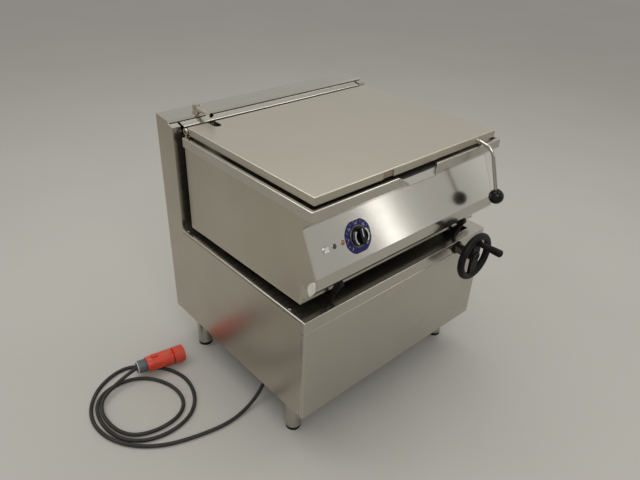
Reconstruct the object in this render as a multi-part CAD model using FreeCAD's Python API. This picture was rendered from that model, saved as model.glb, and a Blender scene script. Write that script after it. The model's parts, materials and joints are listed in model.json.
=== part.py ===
import FreeCAD, Part
import math
import os

V = FreeCAD.Vector

# Stand, in millimetres: front face at y = 0, floor at z = 0.
WIDTH = 800.0
DEPTH = 700.0
LEG_HEIGHT = 140.0
CABINET_HEIGHT = 356.0
SHEET = 1.5
SEAM = 0.3
CREASE = 2.0
EDGE_ROUND = 2.5
FLANGE = 38.5
DECK_LIP = 6.0
WRAP = 15.0
RAIL = 30.0
PLATE = 4.0
LEG_SIDE_INSET = 48.0
LEG_INSET = 95.0
LEG_RADIUS = 25.0
LEG_WALL = 2.0
LEG_PLATE_WIDTH = 88.0
LEG_CLEARANCE = 12.0
LEG_PLUG = 12.0
FOOT_RADIUS = 24.0
FOOT_HEIGHT = 10.0
FOOT_HUB = 14.0
FOOT_STEM = 6.0
FOOT_FIT = 0.2

# Rear upstand and its cap.
UPSTAND_DEPTH = 95.0
LEDGE_DROP = 4.0
LEDGE_DEPTH = 24.0
LEDGE_RISE = 5.5
STEP_DEPTH = 4.0
STEP_RISE = 8.5
CAP_RISE = 5.0
HEM_OUT = 5.0
HEM_DROP = 11.0
HEM_ROUND = 3.0
SLOT_INSET = 32.0
SLOT_WIDTH = 8.0
SLOT_DEPTH = 23.0
SLOT_DROP = 30.0

# Filling spout.
SPOUT_INSET = 113.0
SPOUT_BACK_INSET = 45.0
SPOUT_RISE = 26.0
SPOUT_REACH = 85.0
STUB_RADIUS = 12.0
STUB_TOP = 11.0
STUB_BORE = 5.0
TUBE_RADIUS = 8.0
TUBE_WALL = 1.5
SET_SCREW = 2.5
FIT = 0.05

# Pan casing and console.
CASING_INSET = 19.0
CASING_HEIGHT = 293.0
CASING_FRONT = 42.0
CASING_BACK_GAP = 27.0
SIDE_RETURN = 5.0
TRAY_FRONT_GAP = 28.0
TRAY_BACK_GAP = 16.0
CONSOLE_TOP_OUT = 2.0
CONSOLE_TOP_DROP = 37.0
CONSOLE_NOSE_OUT = 57.5
CONSOLE_NOSE_DROP = 158.0
CONSOLE_LIP_OUT = 56.5
CONSOLE_LIP_DROP = 194.0
CONSOLE_LOW_OUT = 42.0
CONSOLE_LOW_DROP = 213.0
CONSOLE_FOOT_DROP = 189.0
CONSOLE_RIM_OUT = 41.0
END_CAP_HEIGHT = 3.5
END_CAP_RADIUS = 30.0
END_CAP_OUT = 5.5

# Rim, tub and pouring notch.
RIM_OVERHANG = 5.0
RIM_FRONT = 0.6
RIM_BACK_OVERHANG = 2.0
RIM_HEIGHT = 28.0
RIM_BAR = 10.0
RIM_LEDGE = 10.0
RIM_ROUND = 3.0
TUB_SEAT_RISE = 17.5
TUB_INSET = 56.0
TUB_FRONT_INSET = 59.4
TUB_SLOPE_RUN = 130.0
TUB_BACK_INSET = 40.0
TUB_FLOOR_GAP = 86.0
TUB_BASE = 10.0
TUB_WALL = 3.0
TUB_FLANGE = 2.5
NOTCH_LEFT = -82.0
NOTCH_RIGHT = 75.0
LIP_REACH = 14.6
LIP_FALL = 15.0
LIP_TAPER = 20.0
LIP_CHEEK = 8.0
ELEMENT_COUNT = 6
ELEMENT_WIDTH = 16.0
ELEMENT_HEIGHT = 8.0
ELEMENT_INSET = 30.0
WOOL_HEIGHT = 36.0
WOOL_INSET = 20.0

# Lid and its hinge.
LID_INSET = 18.0
LID_FRONT_INSET = 13.4
LID_BACK_INSET = 3.0
LID_GAP = 6.0
LID_HEIGHT = 22.0
LID_ROUND = 3.0
LID_NOTCH = 12.5
LID_NOTCH_LENGTH = 47.0
APRON_LAP = 13.0
APRON_DROP = 3.0
FLANGE_CUT = 38.0
HINGE_RISE = 9.0
HINGE_PIN = 4.0
HINGE_EAR = 10.0
HINGE_ARM = 8.0
HINGE_PLATE = 5.0
HINGE_GAP = 1.5
HANDLE_INSET = 115.0
HANDLE_RISE = 6.0
HANDLE_BEND_X = 2.0
HANDLE_BEND_OUT = 50.0
HANDLE_BEND_DROP = 5.0
HANDLE_BALL_X = 15.0
HANDLE_BALL_OUT = 86.0
HANDLE_BALL_DROP = 150.0
HANDLE_RADIUS = 5.5
HANDLE_BOSS = 8.5
HANDLE_BOSS_LENGTH = 4.0
BALL_RADIUS = 23.0

# Tilt pivot, arms and brackets.
PIVOT_Y = 10.0
PIVOT_DROP = 16.0
PIVOT_PIN = 6.0
PIVOT_INSET = 116.0
PIVOT_PLATE = 6.0
PIVOT_GAP = 1.0
BRACKET_EAR = 11.0
BRACKET_FOOT_FRONT = 28.0
BRACKET_NECK = 14.0
BRACKET_FOOT_LENGTH = 55.0
BRACKET_FOOT_HEIGHT = 8.0
ARM_EAR = 11.0
ARM_HALF = 18.0

# Tilt drive: handwheel, spindle, nut, link and lever.
WHEEL_INSET = 150.0
WHEEL_DROP = 21.0
WHEEL_Y = -70.0
WHEEL_RADIUS = 69.0
WHEEL_TUBE = 11.5
WHEEL_WEB = 18.0
WHEEL_WEB_PLATE = 10.0
HUB_RADIUS = 17.0
HUB_FRONT = 8.0
HUB_BACK = 20.0
SPINDLE_SINK = 3.0
GRIP_CRANK = 51.0
GRIP_RADIUS = 12.0
GRIP_NECK = 3.0
GRIP_START = -82.0
GRIP_END = -160.5
GRIP_ROUND = 8.0
GRIP_WALL = 14.0
GRIP_BOSS = 13.0
BOLT_RADIUS = 4.0
BOLT_HEAD = 6.0
BOLT_HEAD_LENGTH = 4.0
SPINDLE_RADIUS = 10.0
SPINDLE_END_RADIUS = 8.0
COLLAR_RADIUS = 17.0
BUSH_RADIUS = 15.0
BUSH_FLANGE = 22.0
BUSH_FLANGE_LENGTH = 4.0
BUSH_LENGTH = 24.0
BEARING_Y = 250.0
BEARING_LENGTH = 25.0
BEARING_HALF = 18.0
NUT_Y = 145.5
NUT_HALF = 14.0
NUT_LENGTH = 40.0
NUT_PIN = 5.0
LINK_OFFSET = 48.0
LINK_PLATE = 6.0
LINK_HALF = 10.0
LINK_END_Y = 25.6
LINK_END_DROP = 3.6
LEVER_GAP = 3.0
LEVER_NECK_FRONT = 38.0
LEVER_NECK_BACK = 58.0
LEVER_HEEL = 105.0
DECK_SLOT_MARGIN = 4.0
DECK_SLOT_WIDTH = 56.0
DECK_SLOT_FRONT = 33.0
DECK_SLOT_BACK = 195.0

# Controls, with the distance down the slanted panel from its top edge.
KNOB_INSET = 186.0
KNOB_S = 72.0
LAMP_OFFSETS = {"orange": 55.0, "green": 84.0}
RESET_OFFSET = 113.0
LAMP_S = 71.0
DIAL_RADIUS = 47.0
DIAL_HALF_WIDTH = 45.0
DIAL_HALF_HEIGHT = 43.5
DIAL_PLATE = 0.8
KNOB_RADIUS = 26.0
KNOB_SKIRT = 7.0
KNOB_BAR = 6.0
KNOB_BAR_HEIGHT = 14.0
KNOB_RING = 30.0
KNOB_RING_HEIGHT = 2.0
KNOB_SHAFT = 3.0
KNOB_SHAFT_LENGTH = 14.0
RUN_GAP = 0.4
LAMP_RADIUS = 7.0
LAMP_HEIGHT = 5.0
RESET_RADIUS = 10.0
THERMOSTAT_HALF = 25.0
THERMOSTAT_DEPTH = 35.0

# Screw heads.
SCREW_RADIUS = 4.5
SCREW_HEAD = 2.5
DECK_SCREW_INSET = 12.0
DECK_SCREW_FRONT = 74.0
DECK_SCREW_BACK_GAP = 16.0
SIDE_SCREW_FRONT = 22.0
SIDE_SCREW_BACK_GAP = 17.0
SIDE_SCREW_RISE = 8.5
CASING_SCREW_LEFT_INSET = 7.0
CASING_SCREW_RIGHT_INSET = 14.0
CASING_SCREW_LEFT = -157.0
CASING_SCREW_RIGHT = 144.0
CASING_SCREW_RISE = 10.0

# Supply cord, its gland and its plug.
CORD_RADIUS = 6.0
CORD_INSET = 82.0
CORD_Y = 270.0
GLAND_LENGTH = 18.0
GLAND_RADIUS = 17.0
GLAND_SHANK = 12.0
GLAND_NUT = 6.0
TERMINAL_HALF_X = 45.0
TERMINAL_HALF_Y = 50.0
TERMINAL_HEIGHT = 60.0
TERMINAL_WALL = 3.0
PLUG_MOUTH = V(-629.0, 594.0, 41.0)
PLUG_END = V(-465.0, 574.0, 31.0)
PLUG_GLAND_LENGTH = 38.0
PLUG_GLAND_NECK = 14.0
PLUG_GLAND_RADIUS = 22.0
PLUG_BODY_LENGTH = 88.0
PLUG_BODY_RADII = (23.5, 27.0)
PLUG_SLEEVE_RADIUS = 29.5
PLUG_SLEEVE_WALL = 4.0
PLUG_SLEEVE_BASE = 10.0
PLUG_PIN_CIRCLE = 15.0
PLUG_PIN_RADIUS = 3.0
PLUG_PIN_LENGTH = 24.0
PLUG_PIN_COUNT = 5

# Planes of the stand.
HALF = WIDTH / 2
INNER = HALF - SHEET
BASE_Z = LEG_HEIGHT
FRAME_Z = BASE_Z + SHEET + PLATE
DECK_Z = BASE_Z + CABINET_HEIGHT
LEG_X = HALF - LEG_SIDE_INSET
UPSTAND_Y = DEPTH - UPSTAND_DEPTH
SLOT_X = HALF - SLOT_INSET

# Planes of the pan and its lid, each from the piece that carries it.
CASING_X = HALF - CASING_INSET
CASING_BACK = UPSTAND_Y - CASING_BACK_GAP
TRAY_FRONT_Z = DECK_Z + TRAY_FRONT_GAP
TRAY_BACK_Z = DECK_Z + TRAY_BACK_GAP
RIM_X = CASING_X + RIM_OVERHANG
RIM_BACK = CASING_BACK + RIM_BACK_OVERHANG
RIM_LOW = DECK_Z + CASING_HEIGHT
RIM_TOP = RIM_LOW + RIM_HEIGHT
TUB_SEAT = RIM_LOW + TUB_SEAT_RISE
TUB_X = RIM_X - TUB_INSET
TUB_FRONT = RIM_FRONT + TUB_FRONT_INSET
TUB_FLOOR_FRONT = TUB_FRONT + TUB_SLOPE_RUN
TUB_BACK = RIM_BACK - TUB_BACK_INSET
TUB_FLOOR = TRAY_FRONT_Z + TUB_FLOOR_GAP
LID_X = RIM_X - LID_INSET
LID_FRONT = RIM_FRONT + LID_FRONT_INSET
LID_BACK = RIM_BACK - LID_BACK_INSET
LID_LOW = RIM_TOP + LID_GAP
LID_TOP = LID_LOW + LID_HEIGHT
HINGE_Y = RIM_BACK
HINGE_Z = LID_LOW + HINGE_RISE
LEDGE_Z = LID_TOP - LEDGE_DROP
SPOUT_X = SPOUT_INSET - HALF
SPOUT_Y = DEPTH - SPOUT_BACK_INSET
SPOUT_Z = LEDGE_Z + SPOUT_RISE
SPOUT_END_Y = SPOUT_Y - SPOUT_REACH

# Outline points of the console as (y, z), and points of the lid's handle.
CONSOLE_FOOT = (CASING_FRONT, RIM_LOW - CONSOLE_FOOT_DROP)
CONSOLE_LOW = (CASING_FRONT - CONSOLE_LOW_OUT, RIM_LOW - CONSOLE_LOW_DROP)
CONSOLE_LIP = (CASING_FRONT - CONSOLE_LIP_OUT, RIM_LOW - CONSOLE_LIP_DROP)
CONSOLE_NOSE = (CASING_FRONT - CONSOLE_NOSE_OUT, RIM_LOW - CONSOLE_NOSE_DROP)
CONSOLE_TOP = (CASING_FRONT - CONSOLE_TOP_OUT, RIM_LOW - CONSOLE_TOP_DROP)
CONSOLE_RIM = (CASING_FRONT - CONSOLE_RIM_OUT, RIM_LOW)
HANDLE_X = HALF - HANDLE_INSET
HANDLE_START = V(HANDLE_X, LID_FRONT, LID_LOW + HANDLE_RISE)
HANDLE_BEND = V(HANDLE_X + HANDLE_BEND_X, LID_FRONT - HANDLE_BEND_OUT, LID_LOW - HANDLE_BEND_DROP)
HANDLE_BALL = V(HANDLE_X + HANDLE_BALL_X, LID_FRONT - HANDLE_BALL_OUT, LID_LOW - HANDLE_BALL_DROP)

# Axes of the tilt pivot, its drive and the controls.
PIVOT_Z = CONSOLE_LOW[1] - PIVOT_DROP
PIVOT_ARM_X = CASING_X - PIVOT_INSET
WHEEL_X = HALF - WHEEL_INSET
WHEEL_Z = DECK_Z - WHEEL_DROP
LINK_X = WHEEL_X + LINK_OFFSET
LINK_END_Z = WHEEL_Z - LINK_END_DROP
KNOB_X = KNOB_INSET - HALF
CORD_X = CORD_INSET - HALF

# The cord's way from the gland over the floor, round its laid loops and up into the plug.
CORD_ROUTE = [
    (CORD_X, CORD_Y, BASE_Z - GLAND_LENGTH), (CORD_X, CORD_Y, 90), (-333, 264, 51), (-372, 251, 24),
    (-424, 236, 11), (-480, 227, 6), (-538, 228, 6), (-626, 248, 6), (-706, 278, 6), (-775, 333, 6),
    (-818, 402, 6), (-832, 474, 6), (-822, 533, 6), (-799, 577, 6), (-759, 620, 6),
    (-704, 648, 6), (-650, 655, 6), (-611, 637, 6), (-571, 598, 6), (-531, 551, 6),
    (-511, 491, 6), (-514, 434, 6), (-535, 377, 6), (-575, 333, 6), (-627, 313, 6),
    (-686, 312, 6), (-746, 333, 6), (-791, 385, 6), (-809, 456, 6), (-804, 518, 6),
    (-784, 560, 6), (-742, 588, 6), (-689, 597, 6), (-640, 585, 6), (-596, 548, 6),
    (-567, 489, 6), (-560, 432, 6), (-572, 386, 6), (-602, 355, 6), (-644, 342, 6),
    (-697, 344, 6), (-749, 366, 6), (-779, 407, 6), (-787, 455, 6), (-778, 505, 7),
    (-756, 548, 15), (-718, 581, 30), (-674, 599.5, 43.7), tuple(PLUG_MOUTH),
]

# Middle of the depth from the grip's end to the back, which is the part's y origin.
MIDDLE_Y = (DEPTH + GRIP_END) / 2


def box(x0, x1, y0, y1, z0, z1):
    """Block between two corners."""
    return Part.makeBox(x1 - x0, y1 - y0, z1 - z0, V(x0, y0, z0))


def rod(start, end, radius):
    """Round bar between two points."""
    along = end - start
    return Part.makeCylinder(radius, along.Length, start, along)


def cone(start, end, radius_start, radius_end):
    """Tapered round bar between two points."""
    along = end - start
    return Part.makeCone(radius_start, radius_end, along.Length, start, along)


def pin_x(x0, x1, y, z, radius):
    """Round bar along x."""
    return rod(V(x0, y, z), V(x1, y, z), radius)


def prism(points, x0, x1):
    """Closed outline of (y, z) points pushed along x."""
    corners = [V(x0, y, z) for y, z in points]
    face = Part.Face(Part.makePolygon(corners + corners[:1]))
    return face.extrude(V(x1 - x0, 0, 0))


def offset_line(points, distance):
    """Open line of (y, z) points moved to its left by a distance, with mitred corners."""
    normals = []
    for (y0, z0), (y1, z1) in zip(points, points[1:]):
        run = math.hypot(y1 - y0, z1 - z0)
        normals.append(((z0 - z1) / run, (y1 - y0) / run))
    moved = []
    for index, (y, z) in enumerate(points):
        before = normals[max(index - 1, 0)]
        after = normals[min(index, len(normals) - 1)]
        share = distance / (1 + before[0] * after[0] + before[1] * after[1])
        moved.append((y + share * (before[0] + after[0]), z + share * (before[1] + after[1])))
    return moved


def bent_sheet(points, x0, x1):
    """Sheet bent along a line of (y, z) points, with its thickness to the right of the line."""
    return prism(points + offset_line(points, -SHEET)[::-1], x0, x1)


def mirrored(shape):
    """Copy on the other side of the middle plane."""
    return shape.mirror(V(0, 0, 0), V(1, 0, 0))


def both_sides(shape):
    """The shape and its mirror image, as one group."""
    return Part.makeCompound([shape, mirrored(shape)])


def fused(first, *others):
    """One solid from several that overlap or share faces."""
    return first.fuse(list(others)).removeSplitter()


def rounded(shape, radius, chosen):
    """Shape with a fillet on each edge that the test chooses."""
    return shape.makeFillet(radius, [edge for edge in shape.Edges if chosen(edge)])


def runs_along(edge, axis):
    """True for a straight edge along an axis."""
    if edge.Curve.TypeId != "Part::GeomLine":
        return False
    return abs(abs(edge.Curve.Direction.dot(axis)) - 1) < 1e-6


def bend_radius(before, corner, after):
    """Largest even bend at a corner: 0.45 of the shorter run over the tangent of half the turn."""
    turn = (corner - before).getAngle(after - corner)
    shorter = min((corner - before).Length, (after - corner).Length)
    return 0.45 * shorter / math.tan(turn / 2)


def path_wire(points):
    """Straight runs joined by tangent arcs, and the radii of those arcs."""
    edges = []
    radii = []
    last = points[0]
    for before, corner, after in zip(points, points[1:], points[2:]):
        into = (corner - before).normalize()
        out = (after - corner).normalize()
        reach = 0.45 * min((corner - before).Length, (after - corner).Length)
        half_turn = into.getAngle(out) / 2
        radii.append(bend_radius(before, corner, after))
        start = corner - into * reach
        end = corner + out * reach
        inward = (out - into).normalize()
        middle = corner + inward * (radii[-1] / math.cos(half_turn) - radii[-1])
        edges.append(Part.LineSegment(last, start).toShape())
        edges.append(Part.Arc(start, middle, end).toShape())
        last = end
    edges.append(Part.LineSegment(last, points[-1]).toShape())
    return Part.Wire(edges), radii


def pipe(points, radius):
    """Round tube along a route, with the wire it follows and its bend radii."""
    wire, radii = path_wire(points)
    ring = Part.Wire(Part.makeCircle(radius, points[0], points[1] - points[0]))
    return wire.makePipeShell([ring], True, False), wire, radii


def least_self_gap(wire, radius, step):
    """Least free space between two stretches of a tube, measured on points along it."""
    points = wire.discretize(Distance=step)
    skip = int(6 * radius / step) + 1
    least = math.inf
    for index, point in enumerate(points):
        for other in points[index + skip:]:
            least = min(least, point.distanceToPoint(other))
    return least - 2 * radius


def on_planes(edge, top):
    """True for an edge where two of the stand's front, side and top planes meet."""
    middle = edge.CenterOfMass
    planes = [abs(middle.y) < SEAM, abs(abs(middle.x) - HALF) < SEAM, abs(middle.z - top) < SEAM]
    return sum(planes) == 2


def cap_line():
    """Top outline of the upstand's cap, from the hem in front to the back."""
    slope = LEDGE_RISE / LEDGE_DEPTH
    hem_y = UPSTAND_Y - HEM_OUT
    hem_top = LEDGE_Z - HEM_OUT * slope
    ledge_back = UPSTAND_Y + LEDGE_DEPTH
    ledge_top = LEDGE_Z + LEDGE_RISE
    return [
        (hem_y, hem_top - HEM_DROP),
        (hem_y, hem_top),
        (ledge_back, ledge_top),
        (ledge_back + STEP_DEPTH, ledge_top + STEP_RISE),
        (DEPTH, ledge_top + STEP_RISE + CAP_RISE),
    ]


def ledge_underside():
    """Height of the cap's underside over the upstand's front sheet."""
    return LEDGE_Z - SHEET * math.hypot(LEDGE_DEPTH, LEDGE_RISE) / LEDGE_DEPTH


def upstand_slots():
    """Two cut-outs in the ledge where the lid's hinge arms would pass."""
    low = LEDGE_Z - SLOT_DROP
    slot = box(SLOT_X - SLOT_WIDTH / 2, SLOT_X + SLOT_WIDTH / 2, UPSTAND_Y - 2 * HEM_OUT,
               UPSTAND_Y + SLOT_DEPTH, low, LEDGE_Z + STEP_RISE)
    return both_sides(slot)


def stand_sheets():
    """Panels, deck and upstand of the stand."""
    under = offset_line(cap_line(), -SHEET)[2:]
    deck_under = DECK_Z - SHEET
    front = WRAP + SEAM
    outline = [(front, BASE_Z), (DEPTH, BASE_Z), (DEPTH, under[-1][1])] + under[-2::-1]
    lip_z = DECK_Z - DECK_LIP
    side_top = lip_z - CREASE
    outline += [(UPSTAND_Y, ledge_underside()), (UPSTAND_Y, side_top), (front, side_top)]
    right = prism(outline, INNER, HALF)
    flange_z = DECK_Z - FLANGE
    slot_x = LINK_X - DECK_SLOT_MARGIN
    slot = box(slot_x, slot_x + DECK_SLOT_WIDTH, DECK_SLOT_FRONT, DECK_SLOT_BACK, deck_under, DECK_Z)
    deck = fused(
        box(-HALF, HALF, 0, UPSTAND_Y, deck_under, DECK_Z),
        box(-HALF, HALF, 0, SHEET, flange_z, DECK_Z),
        box(INNER, HALF, 0, WRAP, flange_z, DECK_Z),
        box(-HALF, -INNER, 0, WRAP, flange_z, DECK_Z),
        box(INNER, HALF, 0, UPSTAND_Y, lip_z, DECK_Z),
        box(-HALF, -INNER, 0, UPSTAND_Y, lip_z, DECK_Z),
    )
    deck = rounded(deck, EDGE_ROUND, lambda edge: on_planes(edge, DECK_Z))
    bush_hole = rod(V(WHEEL_X, -SHEET, WHEEL_Z), V(WHEEL_X, 2 * SHEET, WHEEL_Z), BUSH_RADIUS)
    panel_top = flange_z - CREASE
    panel = fused(
        box(-HALF, HALF, 0, SHEET, BASE_Z, panel_top),
        box(INNER, HALF, 0, WRAP, BASE_Z, panel_top),
        box(-HALF, -INNER, 0, WRAP, BASE_Z, panel_top),
    )
    panel = rounded(panel, EDGE_ROUND, lambda edge: on_planes(edge, math.inf))
    slots = upstand_slots()
    cap = bent_sheet(cap_line(), -HALF, HALF)
    hem_y, hem_top = cap_line()[1]
    cap = rounded(cap, HEM_ROUND, lambda edge: runs_along(edge, V(1, 0, 0))
                  and abs(edge.CenterOfMass.y - hem_y) < SHEET / 2
                  and abs(edge.CenterOfMass.z - hem_top) < SHEET / 2)
    strip = SLOT_X + SLOT_WIDTH / 2
    corner = box(strip, HALF, hem_y, UPSTAND_Y, hem_top - 2 * HEM_DROP, LEDGE_Z + LEDGE_RISE)
    stub_hole = rod(V(SPOUT_X, SPOUT_Y, LEDGE_Z), V(SPOUT_X, SPOUT_Y, SPOUT_Z), STUB_RADIUS + FIT)
    front_sheet = box(-INNER, INNER, UPSTAND_Y, UPSTAND_Y + SHEET, deck_under - WRAP, ledge_underside())
    return {
        "side_panel_right": right,
        "side_panel_left": mirrored(right),
        "front_panel": panel,
        "back_panel": box(-INNER, INNER, DEPTH - SHEET, DEPTH, BASE_Z, under[-2][1]),
        "deck": deck.cut(slot).cut(bush_hole),
        "upstand_front": front_sheet.cut(slots),
        "upstand_cap": cap.cut(slots).cut(both_sides(corner)).cut(stub_hole),
    }


def stand_frame():
    """Welded frame, floor sheet, legs and feet."""
    back = DEPTH - SHEET
    leg_z = LEG_CLEARANCE
    ring = box(-INNER, INNER, SHEET, back, FRAME_Z, FRAME_Z + RAIL)
    ring = ring.cut(box(-INNER + RAIL, INNER - RAIL, SHEET + RAIL, back - RAIL, FRAME_Z, FRAME_Z + RAIL))
    floor = box(-INNER, INNER, SHEET, back, BASE_Z, BASE_Z + SHEET)
    gland_hole = rod(V(CORD_X, CORD_Y, BASE_Z), V(CORD_X, CORD_Y, FRAME_Z), GLAND_SHANK)
    floor = floor.cut(gland_hole)
    pieces = {}
    feet = []
    extras = []
    for side, x in (("left", -LEG_X), ("right", LEG_X)):
        post_x = math.copysign(INNER - RAIL / 2, x)
        for end, y in (("front", LEG_INSET), ("rear", DEPTH - LEG_INSET)):
            post_y = SHEET + RAIL / 2 if end == "front" else back - RAIL / 2
            post_top = DECK_Z - SHEET if end == "front" else LEDGE_Z - RAIL
            extras.append(box(post_x - RAIL / 2, post_x + RAIL / 2, post_y - RAIL / 2,
                              post_y + RAIL / 2, FRAME_Z, post_top))
            half = LEG_PLATE_WIDTH / 2
            extras.append(box(x - half, x + half, y - half, y + half, FRAME_Z, FRAME_Z + PLATE))
            plate = box(x - half, x + half, y - half, y + half, FRAME_Z - PLATE, FRAME_Z)
            shank = rod(V(x, y, leg_z), V(x, y, FRAME_Z), LEG_RADIUS)
            hollow = rod(V(x, y, leg_z + LEG_PLUG), V(x, y, FRAME_Z), LEG_RADIUS - LEG_WALL)
            stem_hole = rod(V(x, y, leg_z), V(x, y, leg_z + LEG_PLUG), FOOT_STEM + FOOT_FIT)
            pieces["leg_" + end + "_" + side] = fused(plate, shank).cut(hollow).cut(stem_hole)
            floor = floor.cut(rod(V(x, y, BASE_Z), V(x, y, FRAME_Z), LEG_RADIUS + FOOT_FIT))
            feet.append(fused(
                rod(V(x, y, 0), V(x, y, FOOT_HEIGHT), FOOT_RADIUS),
                rod(V(x, y, 0), V(x, y, leg_z), FOOT_HUB),
                rod(V(x, y, 0), V(x, y, leg_z + LEG_PLUG), FOOT_STEM),
            ))
    pieces["base_frame"] = fused(ring, *extras)
    pieces["base_floor"] = floor
    pieces["levelling_feet"] = Part.makeCompound(feet)
    return pieces


def spout():
    """Fixed filling spout with its stub on the upstand's cap."""
    stub = rod(V(SPOUT_X, SPOUT_Y, LEDGE_Z), V(SPOUT_X, SPOUT_Y, SPOUT_Z + STUB_TOP), STUB_RADIUS)
    stub = stub.cut(rod(V(SPOUT_X, SPOUT_Y, LEDGE_Z), V(SPOUT_X, SPOUT_Y, SPOUT_Z), STUB_BORE))
    seat = V(SPOUT_X, SPOUT_Y - STUB_RADIUS / 2, SPOUT_Z)
    mouth = V(SPOUT_X, SPOUT_END_Y, SPOUT_Z)
    stub = stub.cut(rod(mouth, seat, TUBE_RADIUS + FIT))
    stub = stub.cut(rod(seat, V(SPOUT_X, SPOUT_Y, SPOUT_Z), STUB_BORE))
    tube = rod(mouth, seat, TUBE_RADIUS).cut(rod(mouth, seat, TUBE_RADIUS - TUBE_WALL))
    screw_start = V(SPOUT_X + STUB_RADIUS / 2, SPOUT_Y + STUB_BORE, SPOUT_Z)
    screw_end = V(SPOUT_X + 1.5 * STUB_RADIUS, SPOUT_Y + STUB_BORE, SPOUT_Z)
    set_screw = rod(screw_start, screw_end, SET_SCREW)
    return {"spout_stub": stub.cut(set_screw), "spout_tube": tube}, set_screw


def stand_screws():
    """Dome screws that hold the deck and the side panels, on both sides."""
    heads = []
    for y in (DECK_SCREW_FRONT, UPSTAND_Y - DECK_SCREW_BACK_GAP):
        head = V(HALF - DECK_SCREW_INSET, y, DECK_Z)
        heads.append(rod(head, head + V(0, 0, SCREW_HEAD), SCREW_RADIUS))
    for y in (SIDE_SCREW_FRONT, DEPTH - SIDE_SCREW_BACK_GAP):
        heads.append(pin_x(HALF, HALF + SCREW_HEAD, y, BASE_Z + SIDE_SCREW_RISE, SCREW_RADIUS))
    return heads + [mirrored(head) for head in heads]


def supply():
    """Gland under the base and the terminal box over it."""
    low = V(CORD_X, CORD_Y, BASE_Z - GLAND_LENGTH)
    floor_top = BASE_Z + SHEET
    gland = fused(
        rod(low, V(CORD_X, CORD_Y, BASE_Z), GLAND_RADIUS),
        rod(low, V(CORD_X, CORD_Y, floor_top + GLAND_NUT), GLAND_SHANK),
        rod(V(CORD_X, CORD_Y, floor_top), V(CORD_X, CORD_Y, floor_top + GLAND_NUT), GLAND_RADIUS),
    )
    x0, x1 = CORD_X - TERMINAL_HALF_X, CORD_X + TERMINAL_HALF_X
    y0, y1 = CORD_Y - TERMINAL_HALF_Y, CORD_Y + TERMINAL_HALF_Y
    wall = TERMINAL_WALL
    top = floor_top + TERMINAL_HEIGHT
    terminal = box(x0, x1, y0, y1, floor_top, top)
    terminal = terminal.cut(box(x0 + wall, x1 - wall, y0 + wall, y1 - wall, floor_top, top - wall))
    return {"cable_gland": gland, "terminal_box": terminal}


def tilt_pivot():
    """Brackets on the deck, arms on the pan's front and the pins between them."""
    arm_x = PIVOT_ARM_X + PIVOT_PLATE
    bracket_x = arm_x + PIVOT_GAP
    bracket_end = bracket_x + PIVOT_PLATE
    foot_top = DECK_Z + BRACKET_FOOT_HEIGHT
    foot_back = BRACKET_FOOT_FRONT + BRACKET_FOOT_LENGTH
    side = [
        (BRACKET_FOOT_FRONT, DECK_Z), (foot_back, DECK_Z), (foot_back, foot_top),
        (BRACKET_FOOT_FRONT + BRACKET_NECK, foot_top), (PIVOT_Y + BRACKET_EAR, PIVOT_Z),
        (PIVOT_Y - BRACKET_EAR, PIVOT_Z), (BRACKET_FOOT_FRONT, foot_top),
    ]
    bracket = fused(prism(side, bracket_x, bracket_end),
                    pin_x(bracket_x, bracket_end, PIVOT_Y, PIVOT_Z, BRACKET_EAR))
    bracket = bracket.cut(pin_x(bracket_x, bracket_end, PIVOT_Y, PIVOT_Z, PIVOT_PIN + FIT))
    arm = [
        (PIVOT_Y, PIVOT_Z - ARM_EAR), (CASING_FRONT, PIVOT_Z - ARM_HALF),
        (CASING_FRONT, PIVOT_Z + ARM_HALF), (PIVOT_Y, PIVOT_Z + ARM_EAR),
    ]
    arm = fused(prism(arm, PIVOT_ARM_X, arm_x), pin_x(PIVOT_ARM_X, arm_x, PIVOT_Y, PIVOT_Z, ARM_EAR))
    pin = pin_x(PIVOT_ARM_X, bracket_end + PIVOT_GAP, PIVOT_Y, PIVOT_Z, PIVOT_PIN)
    return {
        "pivot_brackets": both_sides(bracket),
        "tilt_arms": both_sides(arm.cut(pin)),
        "pivot_pins": both_sides(pin),
    }


def tray_z(y):
    """Height of the casing tray's underside."""
    share = (y - CASING_FRONT) / (CASING_BACK - CASING_FRONT)
    return TRAY_FRONT_Z + share * (TRAY_BACK_Z - TRAY_FRONT_Z)


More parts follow.
